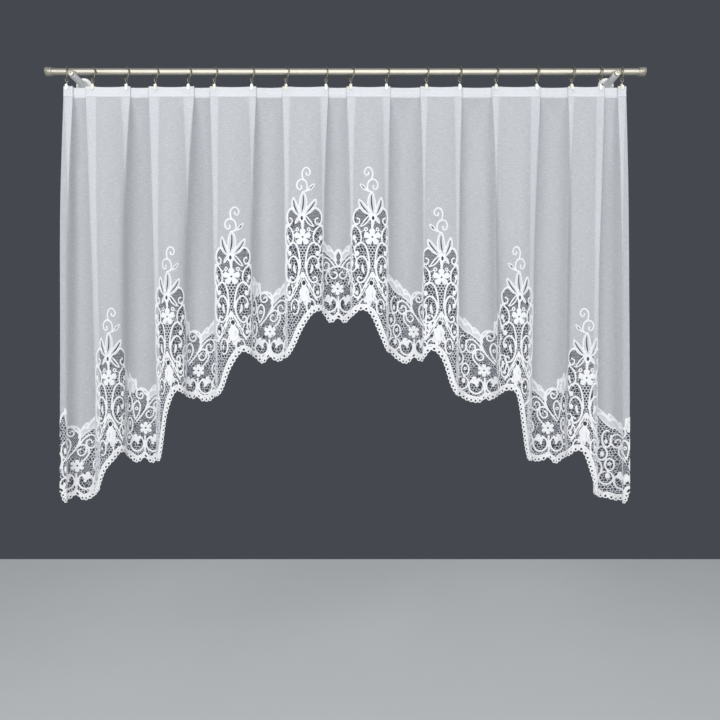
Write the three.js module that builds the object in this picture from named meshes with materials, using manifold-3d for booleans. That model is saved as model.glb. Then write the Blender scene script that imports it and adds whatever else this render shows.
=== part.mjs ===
// A lace-edged net curtain that hangs from eighteen clip rings on a wall rod.
// Millimetres, +Z up, +X along the rod, +Y towards the wall.
// The origin is on the wall, level with the rod's axis and halfway along the rod.

import * as THREE from 'three';
import { mergeVertices } from 'three/addons/utils/BufferGeometryUtils.js';
import Module from 'manifold-3d';

const wasm = await Module();
wasm.setup();

const fitGap = 0.3;

// Rod and end caps
const rodLength = 1764;
const rodRadius = 9.5;
const rodSides = 20;
const smallSides = 14;
const wallDistance = 80;
const capRadius = 12.5;
const capLength = 20;
const capSocket = 14;
const capSpan = 1798;

// Brackets
const bracketPlaces = [
  { side: 'left', x: -817 },
  { side: 'right', x: 810 },
];
const bracketDrop = 11;
const plateRadius = 25;
const plateThickness = 4;
// How the bell behind the arm narrows: distance from the wall and radius
const bell = [
  { out: 4, radius: 22 },
  { out: 7, radius: 17.5 },
  { out: 12, radius: 14 },
  { out: 20, radius: 11.2 },
  { out: 32, radius: 10 },
];
const armRadius = 10;
const armReach = 15;
const knobRadius = 10;
const knobThickness = 6;
const knobRound = 1.2;

// Rings and clips
const ringRadius = 17.5;
const ringWire = 1.5;
const ringDrop = 5.2;
const ringSteps = 14;
const ringSides = 5;
const eyeRadius = 5.5;
const eyeWire = 0.9;
const eyeLift = 2.9;
const eyeSteps = 8;
const neckWidth = 2.2;
const clipWidth = 8;
const clipTop = -37;
const clipBottom = -57;
const jawThickness = 1.6;

// Cloth and heading tape
const clothThickness = 1;
const tapeThickness = 1;
const clothTop = -44.7;
const topSag = 3;
const headingHeight = 30;
const tapeInset = 1;
const tapeTurnGap = 4;
const bareTurnGap = 1.4;
const foldStack = tapeTurnGap + bareTurnGap;
const frontPlane = -wallDistance - foldStack / 2;
const backPlane = -wallDistance + foldStack / 2;
const settleDrop = 520;
const spreadDrop = 900;
const footWidth = 8;
const sideFootWidth = 22;
const footDepth = 44;
const bowLimit = 22;
const rowShares = [0, 0.1, 0.25, 0.46, 0.72, 1];

// One row for each clip and the flat three-layer fold that it grips, from left to right.
// clipX is the ring's place, ringTurn its turn about Z in degrees, foldX and foldWidth the
// fold at the heading, and lowX the place of the same fold down at the lace.
const folds = [
  { clipX: -836, ringTurn: 22, foldX: -831, foldWidth: 28, lowX: -837 },
  { clipX: -758, ringTurn: 42, foldX: -764, foldWidth: 31, lowX: -742 },
  { clipX: -657, ringTurn: 41, foldX: -660, foldWidth: 30, lowX: -661 },
  { clipX: -570, ringTurn: 42, foldX: -575, foldWidth: 30, lowX: -560 },
  { clipX: -471, ringTurn: 38, foldX: -471, foldWidth: 35, lowX: -481 },
  { clipX: -393, ringTurn: 37, foldX: -394, foldWidth: 25, lowX: -385 },
  { clipX: -281, ringTurn: 30, foldX: -280, foldWidth: 25, lowX: -280 },
  { clipX: -178, ringTurn: 33, foldX: -178, foldWidth: 22, lowX: -175 },
  { clipX: -58, ringTurn: 16, foldX: -64, foldWidth: 25, lowX: -73 },
  { clipX: 16, ringTurn: 36, foldX: 17, foldWidth: 27, lowX: 20 },
  { clipX: 123, ringTurn: 28, foldX: 122, foldWidth: 25, lowX: 127 },
  { clipX: 243, ringTurn: 18, foldX: 236, foldWidth: 23, lowX: 233 },
  { clipX: 343, ringTurn: 13, foldX: 338, foldWidth: 23, lowX: 335 },
  { clipX: 452, ringTurn: 14, foldX: 451, foldWidth: 23, lowX: 460 },
  { clipX: 574, ringTurn: 13, foldX: 570, foldWidth: 29, lowX: 551 },
  { clipX: 679, ringTurn: 18, foldX: 678, foldWidth: 21, lowX: 664 },
  { clipX: 765, ringTurn: 3, foldX: 765, foldWidth: 23, lowX: 748 },
  { clipX: 830, ringTurn: -10, foldX: 829, foldWidth: 25, lowX: 832 },
];

// The hem's depth below the rod's axis at five even stations across each panel, from left
// to right. The panels are numbered outwards from the middle one.
const hemDepths = [
  { panel: 'low four', left: 1288, second: 1284, centre: 1291, fourth: 1281, right: 1256 },
  { panel: 'tall four', left: 1267, second: 1248, centre: 1191, fourth: 1160, right: 1138 },
  { panel: 'low three', left: 1158, second: 1176, centre: 1170, fourth: 1177, right: 1160 },
  { panel: 'tall three', left: 1163, second: 1150, centre: 1025, fourth: 961, right: 965 },
  { panel: 'low two', left: 978, second: 985, centre: 991, fourth: 988, right: 969 },
  { panel: 'tall two', left: 975, second: 954, centre: 886, fourth: 843, right: 849 },
  { panel: 'low one', left: 857, second: 876, centre: 865, fourth: 870, right: 856 },
  { panel: 'tall one', left: 860, second: 831, centre: 770, fourth: 731, right: 720 },
  { panel: 'middle', left: 726, second: 752, centre: 748, fourth: 753, right: 737 },
  { panel: 'tall one', left: 738, second: 719, centre: 731, fourth: 795, right: 843 },
  { panel: 'low one', left: 838, second: 861, centre: 877, fourth: 866, right: 870 },
  { panel: 'tall two', left: 862, second: 837, centre: 863, fourth: 943, right: 973 },
  { panel: 'low two', left: 970, second: 987, centre: 995, fourth: 991, right: 977 },
  { panel: 'tall three', left: 968, second: 955, centre: 978, fourth: 1138, right: 1165 },
  { panel: 'low three', left: 1163, second: 1173, centre: 1169, fourth: 1179, right: 1162 },
  { panel: 'tall four', left: 1150, second: 1136, centre: 1143, fourth: 1210, right: 1268 },
  { panel: 'low four', left: 1268, second: 1281, centre: 1284, fourth: 1291, right: 1290 },
];
const sideRise = 33;

// How deep the spray of each panel hangs, from the middle panel outwards: the tip of a tall
// spray's top scroll, or the foot of a low spray
const sprayDepths = [747, 294, 877, 411, 995, 529, 1169, 709, 1284];
// How far to the right of its panel's middle each spray stands, from left to right
const sprayShifts = [-20, 11, 3, -1, -16, -1, -4, -4, 2, 9, 30, 0, 23, 5, 7, 9, 61];
const middlePanel = 8;
// The share of a panel at each side where no gap is cut, because the cloth folds there
const edgeShare = 0.07;

// Gaps cut through the lace of each tall spray, measured outwards from its axis and down
// from the tip of its top scroll.
const tallGaps = [
  { place: 'middle leaf', across: 0, down: 108, wide: 6, high: 40, turn: 4 },
  { place: 'inner leaf', across: -24, down: 119, wide: 6, high: 32, turn: 37 },
  { place: 'outer leaf', across: 20, down: 118, wide: 6, high: 32, turn: -18 },
  { place: 'inner shoulder', across: -34, down: 142, wide: 16, high: 18, turn: 0 },
  { place: 'outer shoulder', across: 28, down: 142, wide: 14, high: 18, turn: 0 },
  { place: 'knot', across: 2, down: 153, wide: 7, high: 12, turn: 0 },
  { place: 'inner button', across: -30, down: 185, wide: 9, high: 14, turn: 0 },
  { place: 'outer button', across: 25, down: 185, wide: 8, high: 14, turn: 0 },
  { place: 'inner side oval', across: -43, down: 199, wide: 8, high: 22, turn: 0 },
  { place: 'outer side oval', across: 36, down: 199, wide: 8, high: 22, turn: 0 },
  { place: 'inner upper scroll', across: -31, down: 247, wide: 14, high: 18, turn: 0 },
  { place: 'outer upper scroll', across: 26, down: 247, wide: 12, high: 18, turn: 0 },
  { place: 'waist top', across: 0, down: 243, wide: 7, high: 8, turn: 0 },
  { place: 'waist middle', across: 0, down: 262, wide: 7, high: 8, turn: 0 },
  { place: 'waist foot', across: 0, down: 281, wide: 6, high: 8, turn: 0 },
  { place: 'inner big oval', across: -38, down: 313, wide: 10, high: 16, turn: 10 },
  { place: 'outer big oval', across: 31, down: 313, wide: 10, high: 16, turn: -10 },
  { place: 'tulip eye', across: -4, down: 344, wide: 8, high: 12, turn: 0 },
  { place: 'inner foot oval', across: -46, down: 359, wide: 11, high: 16, turn: 0 },
  { place: 'outer foot oval', across: 38, down: 359, wide: 11, high: 16, turn: 0 },
];

// Gaps cut through the lace of each low panel, measured outwards from its axis and up from
// its hem.
const lowGaps = [
  { place: 'tall curl', across: 4, up: 178, wide: 12, high: 28, turn: 0 },
  { place: 'drop', across: 26, up: 142, wide: 7, high: 14, turn: 0 },
  { place: 'second curl', across: -20, up: 166, wide: 9, high: 14, turn: 20 },
  { place: 'third curl', across: 4, up: 131, wide: 13, high: 10, turn: 0 },
  { place: 'inner of the flower', across: -26, up: 93, wide: 9, high: 18, turn: 0 },
  { place: 'outer of the flower', across: 23, up: 95, wide: 9, high: 16, turn: 0 },
  { place: 'between medallions', across: -1, up: 78, wide: 13, high: 8, turn: 0 },
  { place: 'inner medallion', across: -24, up: 42, wide: 14, high: 12, turn: 0 },
  { place: 'outer medallion', across: 24, up: 42, wide: 14, high: 12, turn: 0 },
  { place: 'inner side loop', across: -62, up: 54, wide: 12, high: 12, turn: 0 },
];
const gapReach = 9;

const satinNickel = new THREE.MeshStandardMaterial({ color: '#bdb8a8', roughness: 0.32, metalness: 1 });
const clipPlastic = new THREE.MeshStandardMaterial({ color: '#efece0', roughness: 0.5, metalness: 0 });
const netLace = new THREE.MeshStandardMaterial({ color: '#eef0f5', roughness: 0.9, metalness: 0 });
const tapeCloth = new THREE.MeshStandardMaterial({ color: '#e9ebf1', roughness: 0.9, metalness: 0 });

const group = new THREE.Group();
group.name = 'net_curtain_on_rod';

function addPiece(name, geometry, material) {
  const mesh = new THREE.Mesh(geometry, material.clone());
  mesh.name = name;
  group.add(mesh);
  return mesh;
}

// A closed geometry as a solid that can be joined and cut
function toSolid(geometry) {
  const bare = geometry.clone();
  bare.deleteAttribute('normal');
  bare.deleteAttribute('uv');
  const merged = mergeVertices(bare, 1e-4);
  const mesh = new wasm.Mesh({
    numProp: 3,
    vertProperties: new Float32Array(merged.attributes.position.array),
    triVerts: new Uint32Array(merged.index.array),
  });
  return new wasm.Manifold(mesh);
}

function toGeometry(solid) {
  const mesh = solid.getMesh();
  const geometry = new THREE.BufferGeometry();
  geometry.setAttribute('position', new THREE.BufferAttribute(mesh.vertProperties, 3));
  geometry.setIndex(new THREE.BufferAttribute(mesh.triVerts, 1));
  geometry.computeVertexNormals();
  return geometry;
}

function joined(geometries) {
  return geometries.map(toSolid).reduce((whole, next) => whole.add(next));
}

function between(low, high, share) {
  return low + (high - low) * share;
}

function clamped(value) {
  return Math.min(1, Math.max(0, value));
}

function cylinderAlongX(radius, length, x, sides) {
  const geometry = new THREE.CylinderGeometry(radius, radius, length, sides);
  geometry.rotateZ(Math.PI / 2);
  geometry.translate(x, -wallDistance, 0);
  return geometry;
}

// Rod with a turned cap over each end

function makeCap(side) {
  const outer = capSpan / 2;
  const mouth = outer - capLength;
  const socketEnd = mouth + capSocket;
  const bore = rodRadius + fitGap;
  const profile = [
    new THREE.Vector2(0, socketEnd),
    new THREE.Vector2(bore, socketEnd),
    new THREE.Vector2(bore, mouth),
    new THREE.Vector2(capRadius, mouth),
    new THREE.Vector2(capRadius, mouth + 4),
    new THREE.Vector2(capRadius - 1.2, mouth + 6),
    new THREE.Vector2(capRadius, mouth + 8),
    new THREE.Vector2(capRadius, outer - 1.5),
    new THREE.Vector2(capRadius - 1.5, outer),
    new THREE.Vector2(0, outer),
  ];
  const geometry = new THREE.LatheGeometry(profile, smallSides);
  geometry.rotateZ(side * -Math.PI / 2);
  geometry.translate(0, -wallDistance, 0);
  return geometry;
}

function addRod() {
  addPiece('rod', cylinderAlongX(rodRadius, rodLength, 0, rodSides), satinNickel);
  addPiece('end_cap_left', makeCap(-1), satinNickel);
  addPiece('end_cap_right', makeCap(1), satinNickel);
}

// Bracket: a round wall plate that narrows in a bell to a thick round arm. The rod lies in
// a saddle cut across the arm.

function makeBracket(x) {
  const length = wallDistance + armReach;
  const profile = [
    new THREE.Vector2(0, 0),
    new THREE.Vector2(plateRadius, 0),
    new THREE.Vector2(plateRadius, plateThickness),
    ...bell.map(({ out, radius }) => new THREE.Vector2(radius, out)),
    new THREE.Vector2(armRadius, length),
    new THREE.Vector2(0, length),
  ];
  const geometry = new THREE.LatheGeometry(profile, rodSides);
  geometry.rotateX(Math.PI);
  geometry.translate(x, 0, -bracketDrop);
  const saddle = cylinderAlongX(rodRadius + fitGap, armRadius * 4, x, rodSides);
  return toGeometry(toSolid(geometry).subtract(toSolid(saddle)));
}

function makeKnob(x) {
  const profile = [
    new THREE.Vector2(0, 0),
    new THREE.Vector2(knobRadius, 0),
    new THREE.Vector2(knobRadius, knobThickness - knobRound),
    new THREE.Vector2(knobRadius - knobRound, knobThickness),
    new THREE.Vector2(0, knobThickness),
  ];
  const geometry = new THREE.LatheGeometry(profile, rodSides);
  geometry.rotateX(Math.PI);
  geometry.translate(x, -wallDistance - armReach - fitGap, -bracketDrop);
  return geometry;
}

function addBrackets() {
  for (const { side, x } of bracketPlaces) {
    addPiece(`bracket_${side}`, makeBracket(x), satinNickel);
    addPiece(`thumb_screw_${side}`, makeKnob(x), satinNickel);
  }
}

// Wire rings, each turned a little about Z, with a two-jawed clip on a wire eye below

function makeRing({ clipX, ringTurn }) {
  const geometry = new THREE.TorusGeometry(ringRadius, ringWire, ringSides, ringSteps);
  geometry.rotateY(Math.PI / 2);
  geometry.rotateZ(THREE.MathUtils.degToRad(ringTurn));
  geometry.translate(clipX, -wallDistance, -ringDrop);
  return geometry;
}

function makeJaws(x) {
  const slotFront = frontPlane - clothThickness / 2 - fitGap;
  const slotBack = backPlane + clothThickness / 2 + tapeThickness + 2 * fitGap;
  const slotTop = clothTop + 2 * fitGap;
  const outline = new THREE.Shape([
    new THREE.Vector2(slotFront - jawThickness, clipTop),
    new THREE.Vector2(slotFront - jawThickness, clipBottom),
    new THREE.Vector2(slotFront, clipBottom),
    new THREE.Vector2(slotFront, slotTop),
    new THREE.Vector2(slotBack, slotTop),
    new THREE.Vector2(slotBack, clipBottom),
    new THREE.Vector2(slotBack + jawThickness, clipBottom),
    new THREE.Vector2(slotBack + jawThickness, clipTop),
  ]);
  const geometry = new THREE.ExtrudeGeometry(outline, { depth: clipWidth, bevelEnabled: false });
  const alongY = new THREE.Vector3(0, 1, 0);
  const alongZ = new THREE.Vector3(0, 0, 1);
  const alongX = new THREE.Vector3(1, 0, 0);
  geometry.applyMatrix4(new THREE.Matrix4().makeBasis(alongY, alongZ, alongX));
  geometry.translate(x - clipWidth / 2, 0, 0);
  return geometry;
}

function makeClip({ clipX, ringTurn }) {
  const eyeZ = -ringDrop - ringRadius + eyeLift - eyeRadius;
  const eye = new THREE.TorusGeometry(eyeRadius, eyeWire, 4, eyeSteps);
  eye.rotateX(Math.PI / 2);
  eye.rotateZ(THREE.MathUtils.degToRad(ringTurn));
  eye.translate(clipX, -wallDistance, eyeZ);
  const neckTop = eyeZ - eyeRadius;
  const neckHeight = neckTop - clipTop + 1;
  const neck = new THREE.BoxGeometry(neckWidth, neckWidth, neckHeight);
  neck.translate(clipX, -wallDistance, neckTop - neckHeight / 2);
  return toGeometry(joined([makeJaws(clipX), neck, eye]));
}

function addRingsAndClips() {
  folds.forEach((fold, index) => {
    const number = String(index + 1).padStart(2, '0');
    addPiece(`ring_${number}`, makeRing(fold), satinNickel);
    addPiece(`clip_${number}`, makeClip(fold), clipPlastic);
  });
}

// The folded cloth. At the heading every fold is three flat layers. Further down a fold
// narrows and opens in depth, and the cloth that it gives up bows the panels, so every
// panel keeps the width it was cut to. Panels hang in front and behind by turns.

function isFront(panel) {
  return panel % 2 === 1;
}

function foldAt(index, depth) {
  const fold = folds[index];
  const atSide = index === 0 || index === folds.length - 1;
  const drop = Math.max(0, depth + clothTop - headingHeight - topSag);
  const closing = (1 - clamped(drop / settleDrop)) ** 2;
  const width = between(atSide ? sideFootWidth : footWidth, fold.foldWidth, closing);
  const opening = 1 - closing;
  return {
    x: between(fold.foldX, fold.lowX, clamped(drop / spreadDrop)),
    half: width / 2,
    front: between(frontPlane, -wallDistance - footDepth / 2, opening),
    back: between(backPlane, -wallDistance + footDepth / 2, opening),
  };
}

function legLength(fold) {
  const reach = fold.back - fold.front - foldStack;
  return Math.hypot(2 * fold.half, reach);
}

function panelEnds(panel, depth) {
  const left = foldAt(panel, depth);
  const right = foldAt(panel + 1, depth);
  return {
    left,
    right,
    from: left.x - left.half,
    to: right.x + right.half,
    plane: isFront(panel) ? left.front : left.back,
  };
}

function panelBow(panel, depth) {
  const top = panelEnds(panel, -clothTop);
  const here = panelEnds(panel, depth);
  const spare = (legLength(top.left) + legLength(top.right)
    - legLength(here.left) - legLength(here.right)) / 2;
  const chord = here.to - here.from;
  const cut = top.to - top.from + spare;
  const bow = 2 * chord / Math.PI * Math.sqrt(Math.max(0, cut / chord - 1));
  return Math.min(bowLimit, bow);
}

// A point of a panel: share runs from 0 at its left edge to 1 at its right edge
function panelPoint(panel, share, depth) {
  const ends = panelEnds(panel, depth);
  const outwards = isFront(panel) ? -1 : 1;
  return {
    x: between(ends.from, ends.to, share),
    y: ends.plane + outwards * panelBow(panel, depth) * Math.sin(Math.PI * share),
  };
}

// The two inner corners of a fold, between the panel before it and the panel after it
function cornerPoint(index, corner, depth) {
  const fold = foldAt(index, depth);
  const fromFront = index % 2 === 0;
  const nearFront = fold.front + tapeTurnGap;
  const nearBack = fold.back - bareTurnGap;
  const right = { x: fold.x + fold.half, y: fromFront ? nearFront : nearBack };
  const left = { x: fold.x - fold.half, y: fromFront ? nearBack : nearFront };
  return corner === 'right' ? right : left;
}

// The left (-1) or right (1) edge of the front layer of a fold
function frontEdge(index, side, depth) {
  const fold = foldAt(index, depth);
  return { x: fold.x + side * fold.half, y: fold.front };
}

function hemAt(panel, share) {
  const row = hemDepths[panel];
  const stations = [row.left, row.second, row.centre, row.fourth, row.right];
  const place = share * (stations.length - 1);
  const first = Math.min(Math.floor(place), stations.length - 2);
  return between(stations[first], stations[first + 1], place - first);
}

// Every upright line of the cloth, from the left edge to the right one
function clothColumns() {
  const columns = [];
  const lastFold = folds.length - 1;
  const leftHem = hemAt(0, 0);
  const rightHem = hemAt(lastFold - 1, 1);
  const addPanel = (panel) => {
    for (const share of [0, 0.25, 0.5, 0.75, 1]) {
      const sag = topSag * (1 - (2 * share - 1) ** 2);
      columns.push({ at: (depth) => panelPoint(panel, share, depth), sag, hem: hemAt(panel, share) });
    }
  };
  const addCorners = (index, hemBefore, hemAfter) => {
    const firstHem = between(hemBefore, hemAfter, 0.1);
    const secondHem = between(hemBefore, hemAfter, 0.9);
    columns.push({ at: (depth) => cornerPoint(index, 'right', depth), sag: 0, hem: firstHem });
    columns.push({ at: (depth) => cornerPoint(index, 'left', depth), sag: 0, hem: secondHem });
  };
  const addSide = (index, side, sideHem) => {
    columns.push({ at: (depth) => frontEdge(index, side, depth), sag: 0, hem: sideHem });
  };
  addSide(0, -1, leftHem - sideRise);
  addSide(0, 1, leftHem);
  addCorners(0, leftHem, leftHem);
  for (let panel = 0; panel < lastFold; panel += 1) {
    addPanel(panel);
    const hemAfter = panel + 1 < lastFold ? hemAt(panel + 1, 0) : rightHem;
    addCorners(panel + 1, hemAt(panel, 1), hemAfter);
  }
  addSide(lastFold, -1, rightHem);
  addSide(lastFold, 1, rightHem - sideRise);
  return columns;
}

// The unit normal of a line of points in plan, pointing to the cloth's wrong side, and
// lengthened at corners so that both faces stay the same distance from the line
function plainNormals(points) {
  const directions = points.slice(1).map((point, index) => {
    const dx = point.x - points[index].x;
    const dy = point.y - points[index].y;
    const length = Math.hypot(dx, dy);
    return { x: dx / length, y: dy / length };
  });
  return points.map((point, index) => {
    const before = directions[Math.max(0, index - 1)];
    const after = directions[Math.min(directions.length - 1, index)];
    const x = -(before.y + after.y);
    const y = before.x + after.x;
    const square = (x * x + y * y) / 2;
    return { x: x / square, y: y / square };
  });
}

// A closed sheet through rows of depths on the cloth's columns, between two offsets from
// the cloth's own middle surface
function makeSheet(columns, rowCount, depthOf, nearOffset, farOffset) {
  const positions = [];
  for (let row = 0; row < rowCount; row += 1) {
    const depths = columns.map((column) => depthOf(column, row));
    const line = columns.map((column, index) => column.at(depths[index]));
    const normals = plainNormals(line);
    for (const offset of [nearOffset, farOffset]) {
      line.forEach((point, index) => {
        const normal = normals[index];
        positions.push(point.x + normal.x * offset, point.y + normal.y * offset, -depths[index]);
      });
    }
  }
  const width = columns.length;
  const near = (row, column) => row * 2 * width + column;
  const far = (row, column) => near(row, column) + width;
  const indices = [];
  const quad = (a, b, c, d) => indices.push(a, b, c, a, c, d);
  for (let column = 0; column < width - 1; column += 1) {
    for (let row = 0; row < rowCount - 1; row += 1) {
      quad(near(row, column), near(row + 1, column), near(row + 1, column + 1), near(row, column + 1));
      quad(far(row, column), far(row, column + 1), far(row + 1, column + 1), far(row + 1, column));
    }
    const foot = rowCount - 1;
    quad(near(0, column), near(0, column + 1), far(0, column + 1), far(0, column));
    quad(near(foot, column), far(foot, column), far(foot, column + 1), near(foot, column + 1));
  }
  for (let row = 0; row < rowCount - 1; row += 1) {
    const end = width - 1;
    quad(near(row, 0), far(row, 0), far(row + 1, 0), near(row + 1, 0));
    quad(near(row, end), near(row + 1, end), far(row + 1, end), far(row, end));
  }
  const geometry = new THREE.BufferGeometry();
  geometry.setAttribute('position', new THREE.Float32BufferAttribute(positions, 3));
  geometry.setIndex(indices);
  return geometry;
}

function clothDepth(column, row) {
  const top = -clothTop + column.sag;
  if (row === 0) return top;
  const bandFoot = top + headingHeight;
  return between(bandFoot, column.hem, rowShares[row - 1]);
}

function tapeDepth(column, row) {
  const top = -clothTop + column.sag;
  return row === 0 ? top + tapeInset : top + headingHeight - tapeInset;
}

// One lozenge-ended cutter through a single layer of the cloth
function makeCutter(panel, share, depth, gap, mirrored) {
  const centre = panelPoint(panel, share, depth);
  const across = gap.wide / 2;
  const up = gap.high / 2;
  const outline = new THREE.Shape([
    new THREE.Vector2(-across, -up * 0.45),
    new THREE.Vector2(across * 0.25, -up),
    new THREE.Vector2(across, up * 0.35),
    new THREE.Vector2(-across * 0.25, up),
  ]);
  const geometry = new THREE.ExtrudeGeometry(outline, { depth: gapReach * 2, bevelEnabled: false });
  geometry.translate(0, 0, -gapReach);
  geometry.rotateZ(THREE.MathUtils.degToRad(mirrored ? -gap.turn : gap.turn));
  geometry.rotateX(Math.PI / 2);
  geometry.translate(centre.x, centre.y, -depth);
  return toSolid(geometry);
}

// The gaps of every spray, without those that would fall into a fold
function laceCutters() {
  const cutters = [];
  for (let panel = 0; panel < folds.length - 1; panel += 1) {
    const mirrored = panel < middlePanel;
    const outwards = mirrored ? -1 : 1;
    const sprayDepth = sprayDepths[Math.abs(panel - middlePanel)];
    const tall = isFront(panel);
    const gaps = tall ? tallGaps : lowGaps;
    for (const gap of gaps) {
      const depth = tall ? sprayDepth + gap.down : sprayDepth - gap.up;
      const ends = panelEnds(panel, depth);
      const fromMiddle = sprayShifts[panel] + outwards * gap.across;
      const share = 0.5 + fromMiddle / (ends.to - ends.from);
      if (share < edgeShare || share > 1 - edgeShare) continue;
      cutters.push(makeCutter(panel, share, depth, gap, mirrored));
    }
  }
  return cutters;
}

function addCloth() {
  const columns = clothColumns();
  const half = clothThickness / 2;
  const whole = toSolid(makeSheet(columns, rowShares.length + 1, clothDepth, -half, half));
  const cut = laceCutters().reduce((cloth, cutter) => cloth.subtract(cutter), whole);
  addPiece('curtain', toGeometry(cut), netLace);
  const tapeNear = half + fitGap;
  const tape = makeSheet(columns, 2, tapeDepth, tapeNear, tapeNear + tapeThickness);
  addPiece('heading_tape', tape, tapeCloth);
}

addRod();
addBrackets();
addRingsAndClips();
addCloth();

export default group;
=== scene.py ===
import math

import bpy
import numpy as np
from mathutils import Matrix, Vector


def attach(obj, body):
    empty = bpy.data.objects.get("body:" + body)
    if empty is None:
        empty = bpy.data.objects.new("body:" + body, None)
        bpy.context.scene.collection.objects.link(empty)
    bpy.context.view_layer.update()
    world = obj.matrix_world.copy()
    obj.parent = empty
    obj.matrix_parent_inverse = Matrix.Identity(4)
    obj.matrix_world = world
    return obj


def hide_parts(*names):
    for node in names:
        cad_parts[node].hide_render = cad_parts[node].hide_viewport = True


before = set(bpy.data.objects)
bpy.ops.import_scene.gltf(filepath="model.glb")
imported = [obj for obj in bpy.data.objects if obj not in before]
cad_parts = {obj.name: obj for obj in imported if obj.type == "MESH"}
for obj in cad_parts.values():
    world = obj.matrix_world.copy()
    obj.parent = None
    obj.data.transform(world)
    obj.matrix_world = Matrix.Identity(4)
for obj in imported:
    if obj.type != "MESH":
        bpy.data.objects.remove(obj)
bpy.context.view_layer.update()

mm = 0.001
wallDistance = 80.0


def linear(hexColour):
    # sRGB hex to the linear colour that sockets take
    parts = [int(hexColour[i:i + 2], 16) / 255 for i in (1, 3, 5)]
    return tuple(c / 12.92 if c <= 0.04045 else ((c + 0.055) / 1.055) ** 2.4 for c in parts) + (1.0,)


def addNode(tree, kind, settings=None, links=None):
    # a node with its settings and links; an input that joins several takes a tuple of them
    node = tree.nodes.new(kind)
    for name, value in (settings or {}).items():
        if isinstance(name, str) and hasattr(node, name):
            setattr(node, name, value)
        else:
            node.inputs[name].default_value = value
    for name, source in (links or {}).items():
        for one in source if isinstance(source, tuple) else (source,):
            tree.links.new(one, node.inputs[name])
    return node


def newMaterial(name):
    material = bpy.data.materials.new(name)
    material.use_nodes = True
    material.node_tree.nodes.clear()
    return material, material.node_tree


def addObject(name, mesh, materials=()):
    thing = bpy.data.objects.new(name, mesh)
    bpy.context.scene.collection.objects.link(thing)
    for material in materials:
        mesh.materials.append(material)
    return thing


def toMesh(name, points, faces, smooth=True):
    mesh = bpy.data.meshes.new(name)
    mesh.from_pydata([tuple(p) for p in points], [], [tuple(f) for f in faces])
    mesh.polygons.foreach_set("use_smooth", [smooth] * len(mesh.polygons))
    mesh.update()
    return mesh


def mixed(low, high, share):
    return low + (high - low) * share


# The cloth hangs as on the solid model: three-layer folds at the clips that narrow and
# open in depth further down, with panels in front and behind by turns. Millimetres.

clothLook = {
    "top": 44.7,            # top edge below the rod's axis
    "sag": 3.0,             # of the top edge between two clips
    "sagFade": 150.0,       # where it has died out
    "heading": 30.0,        # height of the heading
    "settleDrop": 520.0,    # where the folds have opened
    "spreadDrop": 900.0,    # where they stand as at the lace
    "foldFoot": 8.0,        # width of a fold at the bottom
    "sideFoot": 22.0,       # and of the two at the sides
    "topDepth": 5.4,        # depth of a fold, front to back, at the heading
    "footDepth": 44.0,      # and at the bottom
    "frontTurn": 4.0,       # how far behind its front panel the leg of a fold starts
    "backTurn": 1.4,        # and how far before the panel behind it ends
    "bowLimit": 22.0,       # the most that a panel bows out
    "roundTop": 0.9,        # softness of the creases at the heading
    "roundFoot": 8.5,       # and at the bottom
    "wander": 3.2,          # soft unevenness of the hanging cloth
    "waves": ((170, 0.5), (95, 0.35), (52, 0.2)),   # its lengths and the share of each
    "calmDrop": 350.0,      # below the heading, where it has grown to its full size
    "sideRise": 33.0,       # the hem's rounded corner at each side edge
    "sideTurn": 14.0,       # and how far in it starts
    "lowest": 1296.0,       # just below the longest panel
    "seed": 5,
}
panelShares = np.linspace(0, 1, 11)

# fold's place at the heading, its width there and its place down at the lace
folds = [
    (-831, 28, -837), (-764, 31, -742), (-660, 30, -661), (-575, 30, -560), (-471, 35, -481),
    (-394, 25, -385), (-280, 25, -280), (-178, 22, -175), (-64, 25, -73), (17, 27, 20),
    (122, 25, 127), (236, 23, 233), (338, 23, 335), (451, 23, 460), (570, 29, 551),
    (678, 21, 664), (765, 23, 748), (829, 25, 832),
]

# depth of the hem at five stations across each panel, all from left to right
hemDepths = [
    (1288, 1284, 1291, 1281, 1256), (1267, 1248, 1191, 1160, 1138), (1158, 1176, 1170, 1177, 1160),
    (1163, 1150, 1025, 961, 965), (978, 985, 991, 988, 969), (975, 954, 886, 843, 849),
    (857, 876, 865, 870, 856), (860, 831, 770, 731, 720), (726, 752, 748, 753, 737),
    (738, 719, 731, 795, 843), (838, 861, 877, 866, 870), (862, 837, 863, 943, 973),
    (970, 987, 995, 991, 977), (968, 955, 978, 1138, 1165), (1163, 1173, 1169, 1179, 1162),
    (1150, 1136, 1143, 1210, 1268), (1268, 1281, 1284, 1291, 1290),
]
middlePanel = 8
# how deep each spray hangs, from the middle panel outwards: a tall one's tip, a low one's foot
sprayDepths = [747, 294, 877, 411, 995, 529, 1169, 709, 1284]
# how far to the right of each panel's middle its spray stands
sprayShifts = [-20, 11, 3, -1, -16, -1, -4, -4, 2, 9, 30, 0, 23, 5, 7, 9, 61]


def foldAt(index, depth):
    look = clothLook
    foldX, width, lowX = folds[index]
    atSide = index in (0, len(folds) - 1)
    drop = np.maximum(0, depth - look["top"] - look["heading"] - look["sag"])
    closing = (1 - np.clip(drop / look["settleDrop"], 0, 1)) ** 2
    half = mixed(look["sideFoot"] if atSide else look["foldFoot"], width, closing) / 2
    x = mixed(foldX, lowX, np.clip(drop / look["spreadDrop"], 0, 1))
    halfDepth = mixed(look["topDepth"], look["footDepth"], 1 - closing) / 2
    return x, half, -wallDistance - halfDepth, -wallDistance + halfDepth


def panelEdges(panel, depth):
    leftX, leftHalf, front, back = foldAt(panel, depth)
    rightX, rightHalf, _, _ = foldAt(panel + 1, depth)
    return leftX - leftHalf, rightX + rightHalf, front if panel % 2 else back


def legLength(index, depth):
    _, half, front, back = foldAt(index, depth)
    return np.hypot(2 * half, back - front - clothLook["frontTurn"] - clothLook["backTurn"])


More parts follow.
